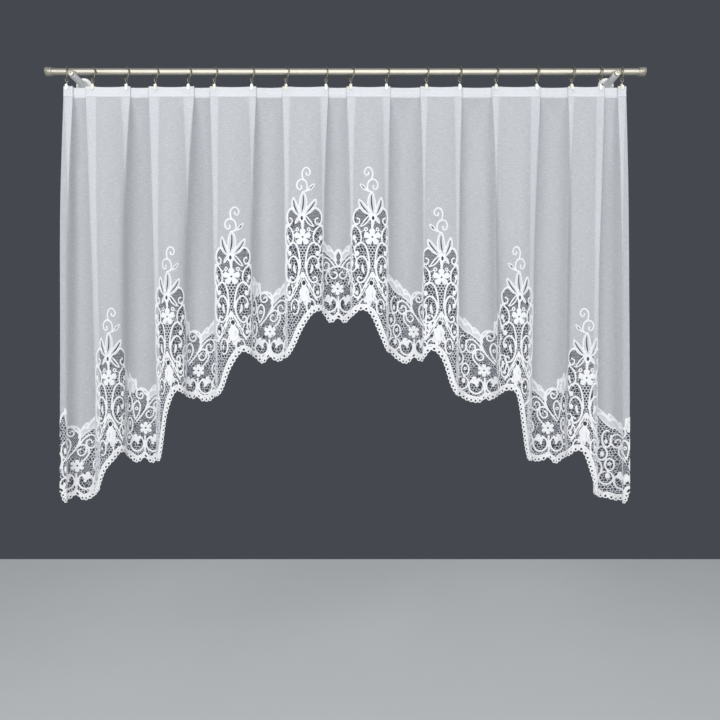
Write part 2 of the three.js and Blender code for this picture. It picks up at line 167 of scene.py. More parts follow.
def panelBow(panel, depth):
    top = np.array(clothLook["top"])
    topLow, topHigh, _ = panelEdges(panel, top)
    low, high, _ = panelEdges(panel, depth)
    spare = sum(legLength(i, top) - legLength(i, depth) for i in (panel, panel + 1)) / 2
    chord = high - low
    bow = 2 * chord / math.pi * np.sqrt(np.maximum(0, (topHigh - topLow + spare) / chord - 1))
    return np.minimum(clothLook["bowLimit"], bow)


def makeDrape(step=1.5, levelStep=12.5):
    # a table of where each flat place of the cloth hangs: rows of depth, columns along the width
    look = clothLook
    depths = np.arange(look["top"], look["lowest"] + levelStep, levelStep)
    path, legs, panels = [], [], []

    def add(x, y):
        path.append(np.stack(np.broadcast_arrays(x, y, depths)[:2], axis=-1))

    def addLeg(index, fromFront):
        x, half, front, back = foldAt(index, depths)
        near, far = front + look["frontTurn"], back - look["backTurn"]
        first, last = (near, far) if fromFront else (far, near)
        add(x + half, first)
        legs.append(len(path))
        add(x, (first + last) / 2)
        add(x - half, last)

    x, half, front, _ = foldAt(0, depths)
    add(x - half, front)
    add(x + half, front)
    addLeg(0, True)
    for panel in range(len(folds) - 1):
        low, high, plane = panelEdges(panel, depths)
        bow = panelBow(panel, depths) * (-1 if panel % 2 else 1)
        panels.append(len(path))
        for share in panelShares:
            add(mixed(low, high, share), plane + bow * math.sin(math.pi * share))
        addLeg(panel + 1, panel % 2 == 1)
    x, half, front, _ = foldAt(len(folds) - 1, depths)
    add(x - half, front)
    add(x + half, front)
    path = np.array(path)

    along = np.concatenate((np.zeros((1, len(depths))), np.cumsum(
        np.linalg.norm(np.diff(path, axis=0), axis=2), axis=0)))
    flat = np.empty_like(along)
    stops = [0] + legs + [len(path) - 1]
    for low, high in zip(stops[:-1], stops[1:]):
        share = (along[low:high + 1] - along[low]) / (along[high] - along[low])
        flat[low:high + 1] = mixed(along[low, 0], along[high, 0], share)
    width = flat[-1, 0]
    across = np.arange(0, width + step, step)
    across[-1] = width
    table = np.empty((len(depths), len(across), 3))
    for row, depth in enumerate(depths):
        settled = min(1, (depth - look["top"]) / look["settleDrop"])
        sigma = mixed(look["roundTop"], look["roundFoot"], settled) / step
        reach = int(3 * sigma) + 1
        kernel = np.exp(-0.5 * (np.arange(-reach, reach + 1) / sigma) ** 2)
        kernel /= kernel.sum()
        for axis in (0, 1):
            line = np.interp(across, flat[:, row], path[:, row, axis])
            ends = (2 * line[0] - line[reach:0:-1], line, 2 * line[-1] - line[-2:-reach - 2:-1])
            table[row, :, axis] = np.convolve(np.concatenate(ends), kernel, "valid")
    u, v = np.meshgrid(across, depths)
    settled = np.clip((v - look["top"] - look["heading"]) / look["calmDrop"], 0, 1)
    draw = np.random.default_rng(look["seed"])
    for axis, reach in ((1, look["wander"]), (0, look["wander"] * 0.5)):
        for wave, size in look["waves"]:
            phase = draw.uniform(0, 6.28, 3)
            drift = 1.6 * np.sin(v / 310 + phase[1]) + 0.7 * np.sin(u / 230 + phase[2])
            table[..., axis] += reach * size * settled * np.sin(u * 2 * math.pi / wave + phase[0] + drift)
    table[..., 2] = -v
    return {"across": across, "depths": depths, "table": table, "step": step, "levelStep": levelStep,
            "flat": flat, "panels": panels, "width": width}


drape = makeDrape()


def hang(u, v, lift=0.0):
    # places on the hanging cloth for flat places, raised from it by lift towards the room
    column = np.clip(u / drape["step"], 0, len(drape["across"]) - 1.001)
    row = np.clip((v - drape["depths"][0]) / drape["levelStep"], 0, len(drape["depths"]) - 1.001)
    i, j = column.astype(int), row.astype(int)
    s, t = (column - i)[..., None], (row - j)[..., None]
    table = drape["table"]
    a, b, c, d = table[j, i], table[j, i + 1], table[j + 1, i], table[j + 1, i + 1]
    place = mixed(mixed(a, b, s), mixed(c, d, s), t)
    fade = np.clip(1 - (v - clothLook["top"]) / clothLook["sagFade"], 0, 1)
    place[..., 2] = -v - np.interp(u, sagPlaces, sagDepths) * fade
    normal = np.cross(mixed(c - a, d - b, s), mixed(b - a, d - c, t))
    normal /= np.maximum(1e-9, np.linalg.norm(normal, axis=-1, keepdims=True))
    return place + normal * np.asarray(lift)[..., None], normal


def flatAt(panel, share, depth):
    # flat place of a point of a panel at some depth
    row = int(round((depth - drape["depths"][0]) / drape["levelStep"]))
    row = min(max(row, 0), len(drape["depths"]) - 1)
    first = drape["panels"][panel]
    stations = drape["flat"][first:first + len(panelShares), row]
    return float(np.interp(share, panelShares, stations))


def topSag():
    # how far the top edge has sunk, against flat width
    places, depths = [0.0], [0.0]
    for panel in range(len(folds) - 1):
        edges = [flatAt(panel, share, clothLook["top"]) for share in (0, 1)]
        for share in np.linspace(0, 1, 9):
            places.append(mixed(edges[0], edges[1], share))
            depths.append(clothLook["sag"] * (1 - (2 * share - 1) ** 2))
    return places, depths


def curved(points, steps=4):
    # a smooth line through the points
    points = np.array(points, float)
    padded = np.vstack((2 * points[0] - points[1], points, 2 * points[-1] - points[-2]))
    line = []
    for p0, p1, p2, p3 in zip(padded, padded[1:], padded[2:], padded[3:]):
        for t in np.arange(steps) / steps:
            line.append(0.5 * (2 * p1 + (p2 - p0) * t + (2 * p0 - 5 * p1 + 4 * p2 - p3) * t * t
                               + (3 * p1 - p0 - 3 * p2 + p3) * t ** 3))
    line.append(points[-1])
    return np.array(line)


def makeHem():
    # the stepped, scalloped lower edge as depth against flat width, with its length
    points = []
    for panel, row in enumerate(hemDepths):
        for share, depth in zip((0.02, 0.25, 0.5, 0.75, 0.98), row):
            points.append((flatAt(panel, share, depth), depth))
    rise, turn = clothLook["sideRise"], clothLook["sideTurn"]
    points = [(0, points[0][1] - rise), (turn, points[0][1])] + points
    points += [(drape["width"] - turn, points[-1][1]), (drape["width"], points[-1][1] - rise)]
    line = curved(points, 8)
    line[:, 0] = np.maximum.accumulate(line[:, 0])
    u = np.arange(0, drape["width"] + 0.5, 0.5)
    v = np.interp(u, line[:, 0], line[:, 1])
    length = np.concatenate(([0], np.cumsum(np.hypot(np.diff(u), np.diff(v)))))
    return {"u": u, "v": v, "length": length}


sagPlaces, sagDepths = topSag()
hem = makeHem()
print("drape ready: the cloth is", round(drape["width"]), "mm wide when flat")


def clipGrid(u, v, depth, values):
    # cuts a grid where depth is below zero. Gives flat points, the values there and the
    # polygons as lists of point numbers, each with the grid column that it starts in.
    rows, columns = depth.shape
    inside = depth > 0
    number = np.full(depth.shape, -1)
    number[inside] = np.arange(inside.sum())
    uGrid, vGrid = np.meshgrid(u, v)
    layers = np.stack([uGrid, vGrid] + list(values), axis=-1)
    points = [layers[inside]]
    count = int(inside.sum())
    crossings = []
    for lowSlice, highSlice in (((slice(None), slice(None, -1)), (slice(None), slice(1, None))),
                                ((slice(None, -1), slice(None)), (slice(1, None), slice(None)))):
        d0, d1 = depth[lowSlice], depth[highSlice]
        cut = (d0 > 0) != (d1 > 0)
        share = (d0[cut] / (d0[cut] - d1[cut]))[:, None]
        points.append(mixed(layers[lowSlice][cut], layers[highSlice][cut], share))
        ids = np.full(d0.shape, -1)
        ids[cut] = count + np.arange(cut.sum())
        count += int(cut.sum())
        crossings.append(ids)
    flatwise, upright = crossings
    corners = [number[:-1, :-1], number[1:, :-1], number[1:, 1:], number[:-1, 1:]]
    sides = [upright[:, :-1], flatwise[1:, :], upright[:, 1:], flatwise[:-1, :]]
    isIn = [c >= 0 for c in corners]
    code = sum(flag.astype(int) << k for k, flag in enumerate(isIn))
    polygons = []
    for case in range(1, 16):
        rowsHere, columnsHere = np.nonzero(code == case)
        if not len(rowsHere):
            continue
        ring = []
        for k in range(4):
            here, following = case >> k & 1, case >> (k + 1) % 4 & 1
            if here:
                ring.append(corners[k][rowsHere, columnsHere])
            if here != following:
                ring.append(sides[k][rowsHere, columnsHere])
        polygons.append((np.stack(ring, axis=1), columnsHere))
    return np.concatenate(points), polygons


def flatArea(points, polygons):
    total = 0.0
    for ring in polygons:
        u, v = points[ring, 0], points[ring, 1]
        total += abs((u * np.roll(v, -1, axis=1) - v * np.roll(u, -1, axis=1)).sum(axis=1) / 2).sum()
    return float(total) * mm * mm


def clothMesh(name, points, polygons, place, attributes):
    # a mesh from the polygons of clipGrid, hung in place, with its flat place as UV in metres
    used = np.unique(np.concatenate([p.ravel() for p in polygons]))
    renumber = np.full(len(points), -1)
    renumber[used] = np.arange(len(used))
    loops = np.concatenate([renumber[p].ravel() for p in polygons])
    sizes = np.concatenate([np.full(len(p), p.shape[1]) for p in polygons])
    mesh = bpy.data.meshes.new(name)
    mesh.vertices.add(len(used))
    mesh.vertices.foreach_set("co", (place[used] * mm).ravel())
    mesh.loops.add(len(loops))
    mesh.loops.foreach_set("vertex_index", loops)
    mesh.polygons.add(len(sizes))
    mesh.polygons.foreach_set("loop_start", np.concatenate(([0], np.cumsum(sizes)[:-1])))
    mesh.polygons.foreach_set("use_smooth", np.ones(len(sizes), bool))
    mesh.update(calc_edges=True)
    mesh.uv_layers.new(name="flat").data.foreach_set("uv", (points[used][loops, :2] * mm).ravel())
    for title, values in attributes.items():
        mesh.attributes.new(title, "FLOAT", "POINT").data.foreach_set("value", values[used])
    return mesh


# Lace border, drawn flat on the cloth and cut out of a fine grid. Millimetres.

laceLook = {
    "cord": 2.6,            # half the width of an outlining cord
    "drawn": 0.9,           # share of the drawn width that a cord keeps
    "rim": 3.4,             # width of the cord round a leaf or petal
    "ground": (8.8, 1.15, 0.3),     # spacing of the mesh's cells, half width of a bar, unevenness
    "fine": (9.6, 0.85, 0.32),      # the same inside the scrolls
    "waist": (9.2, 1.2, 0.0),       # the even holes below the flower
    "veil": (4.8, 0.4, 0.06),       # thin mesh across the open windows
    "waistReach": 40.0,     # how far from a spray's axis its even holes go
    "tuck": 1.0,            # how far the mesh stays inside its area
    "underCord": 1.6,       # and how far it runs in under a cord
    "slit": 1.7,            # half the width of a leaf's open vein
    "picotPitch": 13.4,     # from one loop of the hem to the next
    "picotDepth": 4.6,
    "loopHole": (2.6, 3.4, 6.4),    # half width and height of a loop's hole, and its height
    "dash": (2.6, 0.6, 12.6),       # half length and width of a slit above it, and its height
    "hemBand": 20.0,
    "bandEdge": 2.0,        # how far the drawing and the mesh run into the band
    "lobeNotch": (9.0, 8.0),        # depth and half width of the notch between two medallions
    "dome": 2.2,            # how far in from its edge a cord is round
    "relief": (0.5, 0.55, 0.35),    # height over the cloth of the mesh, the dome and a cord
    "seed": 11,
    "strokeMargin": 4.0,    # how far beyond a stroke its depth is worked out
    "ovalMargin": 6.0,      # and beyond an oval
    "canvasTop": 440.0,     # how far above the hem's highest point the lace can reach
    "tallMiddle": 280.0,    # below a tall spray's tip, where its panel is measured
    "lowMiddle": 150.0,     # and above a low spray's foot
}


def makeCanvas(uLow, uHigh, vLow, vHigh, cell):
    # a fine grid with a layer for each kind of shape, empty at first
    across = np.arange(uLow, uHigh + cell, cell)
    down = np.arange(vLow, vHigh + cell, cell)
    shape = (len(down), len(across))
    canvas = {"u": across, "v": down, "cell": cell}
    for layer in ("zone", "open", "fill", "cord", "slit", "fine", "waist"):
        canvas[layer] = np.full(shape, -99.0)
    return canvas


def grow(canvas, layer, low, high, depthOf):
    # raises one layer, inside a window, to how deep inside a shape each place lies
    margin = canvas["cell"] * 2
    i0, i1 = np.searchsorted(canvas["u"], (low[0] - margin, high[0] + margin))
    j0, j1 = np.searchsorted(canvas["v"], (low[1] - margin, high[1] + margin))
    if i1 <= i0 or j1 <= j0:
        return
    u, v = np.meshgrid(canvas["u"][i0:i1], canvas["v"][j0:j1])
    part = canvas[layer][j0:j1, i0:i1]
    np.maximum(part, depthOf(u, v), out=part)


class Pen:
    # draws in a motif's own millimetres: outwards from its axis, and down from its top or up
    # from the hem. The scales are signed, so that they also mirror.
    def __init__(self, canvas, axis, zero, outwards, downwards):
        self.canvas, self.axis, self.zero = canvas, axis, zero
        self.outwards, self.downwards = outwards, downwards

    def place(self, a, b):
        return np.array((self.axis + self.outwards * a, self.zero + self.downwards * b), float)

    def turned(self, share):
        # the same motif, narrower, and mirrored where share is negative
        return Pen(self.canvas, self.axis, self.zero, self.outwards * share, self.downwards)

    def stroke(self, layer, line, halfWidths):
        # a line whose half width runs through halfWidths
        line = np.array([self.place(a, b) for a, b in line])
        wide = np.interp(np.linspace(0, 1, len(line)), np.linspace(0, 1, len(halfWidths)), halfWidths)
        for start, end, w0, w1 in zip(line[:-1], line[1:], wide[:-1], wide[1:]):
            step = end - start
            square = max(1e-9, float(step @ step))
            reach = max(w0, w1) + laceLook["strokeMargin"]

            def depth(u, v):
                share = np.clip(((u - start[0]) * step[0] + (v - start[1]) * step[1]) / square, 0, 1)
                away = np.hypot(u - start[0] - share * step[0], v - start[1] - share * step[1])
                return w0 + (w1 - w0) * share - away

            low, high = np.minimum(start, end) - reach, np.maximum(start, end) + reach
            grow(self.canvas, layer, low, high, depth)

    def oval(self, layer, centre, radii):
        middle = self.place(*centre)
        radii = np.array((radii[0] * abs(self.outwards), radii[1]), float)

        def depth(u, v):
            return (1 - np.hypot((u - middle[0]) / radii[0], (v - middle[1]) / radii[1])) * radii.min()

        reach = radii + laceLook["ovalMargin"]
        grow(self.canvas, layer, middle - reach, middle + reach, depth)

    def strand(self, points, halfWidths=(2.0, 2.8, 2.4), bud=0.0):
        # a cord on a smooth line, with a round bud at its end
        line = curved(points)
        self.stroke("cord", line, [half * laceLook["drawn"] for half in halfWidths])
        if bud:
            self.oval("cord", line[-1], (bud, bud))

    def leaf(self, base, tip, halfWidth, bend=0.0, vein=1.0):
        # a pointed leaf, bent to one side, with an open vein
        base, tip = np.array(base, float), np.array(tip, float)
        along = tip - base
        side = np.array([-along[1], along[0]])
        shares = np.linspace(0, 1, 9)
        line = [base + along * s + side * bend * np.sin(np.pi * s) for s in shares]
        wide = [halfWidth * np.sin(np.pi * (0.12 + 0.8 * s)) ** 0.7 for s in shares]
        self.stroke("fill", line, wide)
        if vein:
            slit = laceLook["slit"] * vein
            self.stroke("slit", line[1:8], [slit * 0.7, slit * 1.15, slit, slit * 0.7])

    def flower(self, centre, radius, petals=5, turn=90.0, eye=2.7):
        # round petals about a boss with a hole
        for petal in range(petals):
            angle = np.radians(turn + 360 / petals * petal)
            heading = np.array([np.cos(angle), np.sin(angle)])
            line = [np.array(centre) + heading * radius * s for s in (0.25, 0.66)]
            self.stroke("cord", line, [radius * 0.2, radius * 1.75 / petals])
        self.oval("cord", centre, (radius * 0.36, radius * 0.36))
        self.oval("slit", centre, (eye, eye))

    def ringBud(self, centre, radius, hole):
        self.oval("cord", centre, (radius, radius))
        self.oval("slit", centre, (hole, hole))

    def loop(self, centre, radii, start=-90.0, turn=335.0, bud=None):
        # a rounded scroll with fine mesh inside it and a solid bud hanging in
        self.oval("zone", centre, (radii[0] + 3, radii[1] + 3))
        self.oval("fine", centre, radii)
        self.strand(around(centre, radii, start, turn), (2.2, 2.8, 2.8, 2.2), 3.2)
        if bud:
            self.oval("cord", (centre[0] + bud[0], centre[1] + bud[1]), bud[2:])

    def blossom(self, centre, size, turned):
        # a broad bud with three round lobes above it and a drop below
        a, b = centre
        self.oval("cord", (a, b), (size, size * 0.9))
        lobes = ((-0.5, 1.25, 0.72), (0.95, 0.75, 0.6), (-1.15, 0.1, 0.52), (0.35, -1.2, 0.48))
        for across, down, radius in lobes:
            self.oval("cord", (a + across * size * turned, b + down * size), (radius * size, radius * size))


def around(centre, radii, start=0.0, turn=360.0):
    # points of an elliptic arc, in degrees from outwards towards down
    angles = np.radians(np.linspace(start, start + turn, max(7, int(abs(turn) / 20))))
    return [(centre[0] + radii[0] * np.cos(t), centre[1] + radii[1] * np.sin(t)) for t in angles]


def paintTall(pen):
    # curls, leaves, a flower, a waist between scrolls and a tulip near the hem
    pen.strand([(-2, 42), (1, 32), (2, 20), (-2, 9), (-10, 4), (-18, 8), (-22, 17), (-18, 26),
                (-11, 26), (-10, 20)], (2.4, 2.5, 2.3, 1.9), 2.6)
    pen.strand([(-2, 76), (-9, 73), (-13, 66), (-12, 52), (-6, 42), (3, 39), (12, 43), (17, 53),
                (15, 64), (9, 69), (3, 65), (4, 59)], (2.0, 2.6, 2.6, 2.0), 2.8)
    pen.strand([(-9, 75), (-18, 71)], (1.8, 1.6))
    pen.leaf((-18, 70), (-35, 52), 5.6)
    pen.leaf((4, 140), (-1, 79), 12.5, -0.05)
    pen.leaf((11, 142), (27, 94), 10.5, 0.08)
    pen.leaf((-8, 140), (-39, 99), 10.5, -0.06)
    for hand, squeeze in ((-1, 1.0), (1, 0.82)):
        beside = pen.turned(hand * squeeze)
        # an open scroll beside the leaves
        beside.oval("zone", (36, 150), (24, 31))
        beside.oval("open", (34, 147), (18, 18))
        beside.strand([(31, 127), (41, 122), (52, 130), (58, 147), (55, 163), (47, 170), (39, 166),
                       (38, 156), (45, 152)], (2.2, 2.8, 2.6, 2.0), 3.0)
        # a ring on two bars below it
        beside.oval("open", (19, 184), (17, 18))
        beside.stroke("cord", [(16, 186), (36, 194)], (1.1, 1.1))
        beside.stroke("cord", [(18, 188), (24, 206)], (1.1, 1.1))
        beside.ringBud((18, 186), 6.2, 2.2)
        # a scroll with a bud beside the flower
        beside.oval("zone", (46, 205), (22, 42))
        beside.oval("fine", (49, 204), (17, 30))
        beside.strand([(62, 172), (50, 176), (38, 189), (33, 206), (35, 222), (42, 232)],
                      (2.4, 3.0, 2.4))
        beside.strand([(62, 176), (66, 200), (62, 228)], (2.0, 2.2))
        beside.oval("cord", (55, 209), (6, 8))
        beside.oval("cord", (50, 221), (3.5, 5))
        # the upper scroll of the waist
        beside.oval("zone", (38, 256), (27, 36))
        beside.oval("fine", (34, 252), (20, 24))
        beside.strand([(8, 300), (9, 283), (11, 265), (15, 247), (22, 232), (34, 225), (47, 230),
                       (54, 243), (51, 256)], (2.6, 3.0, 3.1, 2.6))
        beside.oval("cord", (46, 256), (6.6, 8))
        beside.oval("cord", (25, 268), (2.8, 5))
        # the lower one, which curls in at its foot
        beside.oval("zone", (38, 306), (28, 44))
        beside.oval("fine", (35, 304), (22, 37))
        beside.strand([(52, 289), (46, 273), (33, 265), (20, 273), (13, 291), (12, 310), (18, 328),
                       (28, 340), (40, 342), (46, 333), (41, 325), (34, 329)],
                      (2.4, 3.1, 3.3, 3.0, 2.4), 3.4)
        beside.oval("cord", (46, 294), (6.6, 7.4))
        beside.leaf((25, 314), (29, 290), 4.2, 0.1, 0)
        beside.strand([(61, 262), (66, 300), (60, 336)], (2.2, 2.2))
        # a broad stem down to the hem, and two loops
        beside.stroke("cord", [(0, 315), (8, 331), (22, 354), (32, 373), (46, 393)],
                      (4.0, 5.4, 5.0, 4.6, 3.0))
        beside.stroke("slit", [(5, 329), (15, 347)], (1.0, 1.6, 1.0))
        beside.stroke("slit", [(23, 358), (33, 376)], (1.0, 1.5, 1.0))
        beside.loop((47, 366), (13, 20), -90, 320, (1, 6, 5, 6))
        beside.loop((27, 414), (14, 22), 60, 320, (3, 2, 4, 6))
    pen.leaf((-7, 147), (-32, 176), 7.2, -0.05, 0.9)
    pen.leaf((9, 148), (21, 168), 5.0, 0, 0)
    pen.stroke("zone", [(0, 168), (0, 430)], [40, 44])
    pen.oval("cord", (2, 153), (8.5, 14))
    pen.stroke("cord", [(1, 160), (0, 184)], (5, 3))
    pen.oval("slit", (2.5, 153), (3.4, 6.2))
    pen.flower((0, 209), 25, turn=-90)
    pen.stroke("waist", [(0, 232), (0, 262), (0, 298), (0, 320)], [17, 11, 5, 5])
    pen.oval("cord", (-4, 344), (8.5, 10))
    pen.oval("open", (-4, 344), (5.4, 7))
    pen.oval("slit", (-4, 344), (5.4, 7))
    pen.stroke("cord", [(-5, 358), (-6, 372), (-7, 386)], [8, 15.5, 12])
    for a in (-12, 0):
        pen.stroke("slit", [(a - 0.5, 368), (a - 1, 388)], (0.4, 1.3, 0.4))
    for base, tip in (((2, 382), (8, 402)), ((-7, 384), (-8, 408)), ((-15, 382), (-23, 400))):
        pen.leaf(base, tip, 6.2, 0, 0)


def innerCurls(pen):
    # the two curls and the loops on the side towards the middle of the curtain
    for a, up, wide, high in ((-78, 206, 28, 56), (-50, 204, 22, 40), (-26, 184, 22, 34), (-6, 160, 22, 34)):
        pen.oval("zone", (a, up), (wide, high))
    for base, tip, wide in (((-8, 184), (-29, 227), 9.0), ((-24, 200), (-57, 254), 9.5),
                            ((-46, 214), (-84, 272), 10.0)):
        pen.leaf(base, tip, wide, 0.03, 0)
    pen.stroke("open", [(-38, 184), (-15, 166)], (5, 7))
    pen.strand([(-8, 162), (-17, 176), (-27, 187), (-38, 193), (-49, 187), (-53, 172), (-46, 157),
                (-36, 153), (-27, 160), (-27, 173), (-36, 178), (-41, 170)], (2.4, 3.0, 3.0, 2.2), 3.0)
    pen.strand([(-26, 157), (-24, 139), (-15, 129), (-5, 133), (-4, 143), (-11, 149)],
               (2.4, 2.6, 2.2), 2.8)
    pen.oval("open", (-25, 92), (9, 14))
    pen.loop((-62, 180), (11, 25), 60, 320, (-2, -8, 4, 7))
    pen.loop((-55, 102), (11, 18), -90, 340)
    pen.ringBud((-55, 104), 5.0, 1.6)
    pen.loop((-64, 62), (18, 19), 100, 335, (4, 6, 6, 8))
    for a, up, wide, high in ((-74, 136, 13, 20), (-88, 92, 14, 24), (-96, 170, 14, 26)):
        pen.loop((a, up), (wide, high), 90, 335, (1, -2, wide * 0.36, high * 0.4))


def medallion(pen, centre, turned):
    a, up = centre
    pen.oval("fine", centre, (19, 22))
    pen.strand(around((a, up + 1), (20, 23), 125 if turned > 0 else 55, 290 * turned), (2.4, 3.0, 3.0, 2.4))
    pen.blossom((a - turned, up + 13), 8.8, turned)
    crescent = around((a, up + 1), (14.5, 17), 38 if turned > 0 else 142, -76 * turned)
    pen.stroke("slit", crescent, (0.8, 1.7, 0.8))


def paintLow(pen, symmetric=False):
    # a leafed notch over three curls, a flower, medallions and loops; heights up from the hem
    pen.stroke("zone", [(-90, 100), (0, 84), (90, 100)], [96, 84, 96])
    innerCurls(pen)
    if symmetric:
        mirrored = pen.turned(-1)
        innerCurls(mirrored)
        for beside in (pen, mirrored):
            beside.strand([(-30, 112), (-36, 130), (-30, 150), (-14, 163), (0, 166)], (2.4, 3.0, 2.6))
            beside.strand([(0, 216), (-9, 196), (-8, 178), (0, 166)], (2.2, 2.8, 2.2))
        pen.oval("zone", (0, 190), (14, 30))
        pen.oval("open", (0, 190), (8, 22))
        pen.oval("open", (0, 134), (12, 12))
    else:
        for a, up, wide, high in ((8, 170, 24, 40), (16, 186, 20, 34), (42, 200, 20, 52), (72, 214, 24, 56)):
            pen.oval("zone", (a, up), (wide, high))
        for base, tip, wide in (((36, 206), (29, 246), 6.0), ((46, 202), (48, 262), 8.0),
                                ((60, 214), (74, 272), 10.0)):
            pen.leaf(base, tip, wide, 0.03, 0)
        # the tall comma beside the notch, with a curl in its head
        pen.stroke("open", [(4, 204), (4, 180), (16, 146)], (10, 11, 4))
        pen.strand([(26, 118), (8, 140), (-3, 158), (-9, 176), (-11, 192), (-8, 205), (0, 215),
                    (13, 218), (24, 212), (27, 200), (21, 189), (11, 188), (6, 196), (10, 204),
                    (16, 199)], (2.4, 3.2, 3.2, 2.6, 2.2), 2.8)
        # the third curl, lowest, over its own window
        pen.stroke("open", [(-22, 128), (0, 132), (13, 122)], (4, 9, 3))
        pen.strand([(26, 119), (11, 136), (-2, 154), (-14, 162), (-26, 158), (-33, 144), (-29, 128),
                    (-12, 108)], (2.4, 3.0, 3.0, 2.2))
        # a drop with a ring in it
        pen.oval("open", (26, 158), (9, 22))
        pen.strand([(30, 124), (20, 141), (15, 158), (17, 173), (25, 180), (34, 170), (36, 152),
                    (31, 126)], (2.2, 2.8, 2.8, 2.2))
        pen.ringBud((26, 157), 5.8, 1.9)
        pen.oval("open", (22, 95), (9, 12))
        pen.loop((46, 108), (8, 22), 90, 335, (0, 4, 3, 8))
        pen.loop((50, 66), (12, 17), 80, 335, (-1, 4, 5, 6))
        pen.loop((48, 172), (9, 24), 90, 330, (1, -6, 4, 7))
        for a, up, wide, high in ((72, 96, 13, 26), (74, 150, 13, 24), (76, 50, 14, 18), (98, 120, 13, 26)):
            pen.loop((a, up), (wide, high), 90, 335, (1, -2, wide * 0.36, high * 0.4))
    pen.oval("open", (-1, 78), (11, 7))
    pen.flower((-2, 98), 20, 6, 90)
    medallion(pen, (-24, 50), 1)
    medallion(pen, (24, 50), -1)
    pen.stroke("cord", [(0, 74), (0, 30)], (2.4, 3.4, 2.6))


def atPlaces(canvas, layer, u, v):
    # a layer's values at free places between the points of the canvas
    i = np.clip((u - canvas["u"][0]) / canvas["cell"], 0, layer.shape[1] - 1.001)
    j = np.clip((v - canvas["v"][0]) / canvas["cell"], 0, layer.shape[0] - 1.001)
    i0, j0 = i.astype(int), j.astype(int)
    s, t = i - i0, j - j0
    upper = mixed(layer[j0, i0], layer[j0, i0 + 1], s)
    return mixed(upper, mixed(layer[j0 + 1, i0], layer[j0 + 1, i0 + 1], s), t)


def meshCells(canvas, area, size, seed, middle=0.0):
    # a ring of bar for each six-sided cell whose middle lies inside area. Neighbours share
    # the middle line of the bar between them.
    pitch, bar, stray = size
    half, low = pitch / 2, pitch / math.sqrt(12)
    u, v = canvas["u"], canvas["v"]
    columns = np.arange(int((u[0] - middle) / pitch) - 1, int((u[-1] - middle) / pitch) + 2)
    rows = np.arange(int(v[0] / (3 * low)) - 1, int(v[-1] / (3 * low)) + 2)
    column, row = (grid.ravel() for grid in np.meshgrid(columns, rows))
    across, down = 2 * column + row % 2, 3 * row
    inside = atPlaces(canvas, area, across * half + middle, down * low) > 0
    across, down = across[inside], down[inside]
    sixfold = np.array(((0, -2), (-1, -1), (-1, 1), (0, 2), (1, 1), (1, -1)))
    corners = np.stack((across[:, None] + sixfold[:, 0], down[:, None] + sixfold[:, 1]), axis=-1)
    spots, number = np.unique(corners.reshape(-1, 2), axis=0, return_inverse=True)
    outer = spots * (half, low) + (middle, 0)
    outer += np.random.default_rng(seed).uniform(-stray, stray, outer.shape) * pitch
    for _ in range(2):
        depth = atPlaces(canvas, area, outer[:, 0], outer[:, 1])
        x, y = outer.T
        slope = np.stack((atPlaces(canvas, area, x + 1, y) - atPlaces(canvas, area, x - 1, y),
                          atPlaces(canvas, area, x, y + 1) - atPlaces(canvas, area, x, y - 1)), axis=-1) / 2
        steep = (slope ** 2).sum(axis=1)
        outside = (depth < 0) & (steep > 0.1) & (steep < 4)
        push = np.where(outside, np.minimum(3.5, -depth) / np.maximum(steep, 0.1), 0)
        outer += slope * push[:, None]
    number = number.reshape(-1, 6)
    ring = outer[number]
    inwards = ring.mean(axis=1, keepdims=True) - ring
    away = np.maximum(0.1, np.linalg.norm(inwards, axis=-1, keepdims=True))
    # 1.155 is the way from a hexagon's middle to its corner, over that to its side
    inner = ring + inwards * np.minimum(0.8, 1.155 * bar / away)
    points = np.zeros((len(outer) + inner.size // 2, 4))
    points[:len(outer), :2], points[:len(outer), 2] = outer, bar
    points[len(outer):, :2] = inner.reshape(-1, 2)
    innerNumber = len(outer) + np.arange(inner.size // 2).reshape(-1, 6)
    following, innerFollowing = np.roll(number, -1, axis=1), np.roll(innerNumber, -1, axis=1)
    return points, np.stack((number, following, innerFollowing, innerNumber), axis=-1).reshape(-1, 4)


def laceCover(canvas, hemGap, hemPlace):
    # hemGap is how far inside the hem's line a place lies and hemPlace its number of loops
    # along it. Gives the depth inside cords, leaves and the hem, the depth inside the lace
    # and how much of it is thick cord.
    look = laceLook
    zone = np.maximum(canvas["zone"], look["hemBand"] + 3 - hemGap)
    edge = look["cord"] * 0.85 - np.abs(zone - look["cord"])
    cord = np.maximum(canvas["cord"], edge)
    cover = np.minimum(np.maximum(cord, canvas["fill"]), -canvas["slit"])
    fromTip = (hemPlace - np.round(hemPlace)) * look["picotPitch"]
    fromValley = (hemPlace + 0.5 - np.round(hemPlace + 0.5)) * look["picotPitch"]
    holeWide, holeHigh, holeUp = look["loopHole"]
    hole = (1 - np.hypot(fromTip / holeWide, (hemGap - holeUp) / holeHigh)) * holeWide
    dashLong, dashWide, dashUp = look["dash"]
    dash = np.minimum(dashWide - np.abs(hemGap - dashUp), (dashLong - np.abs(fromValley)) * 0.5)
    band = np.minimum(np.minimum(hemGap, look["hemBand"] - hemGap), -np.maximum(hole, dash))
    drawn = np.minimum(cover, hemGap - look["hemBand"] + look["bandEdge"])
    cover = np.where(hemGap < look["hemBand"], np.maximum(band, drawn), cover)
    bow = np.abs(fromTip) * 2 / look["picotPitch"]
    scallop = look["picotDepth"] * (1 - np.sqrt(np.maximum(0, 1 - bow ** 2)))
    cover = np.minimum(cover, hemGap - scallop)
    thick = np.clip(1 - (canvas["fill"] - look["rim"]), 0, 1)
    return cover, np.maximum(zone, canvas["fill"]), np.where(cord > 0, 1.0, thick)


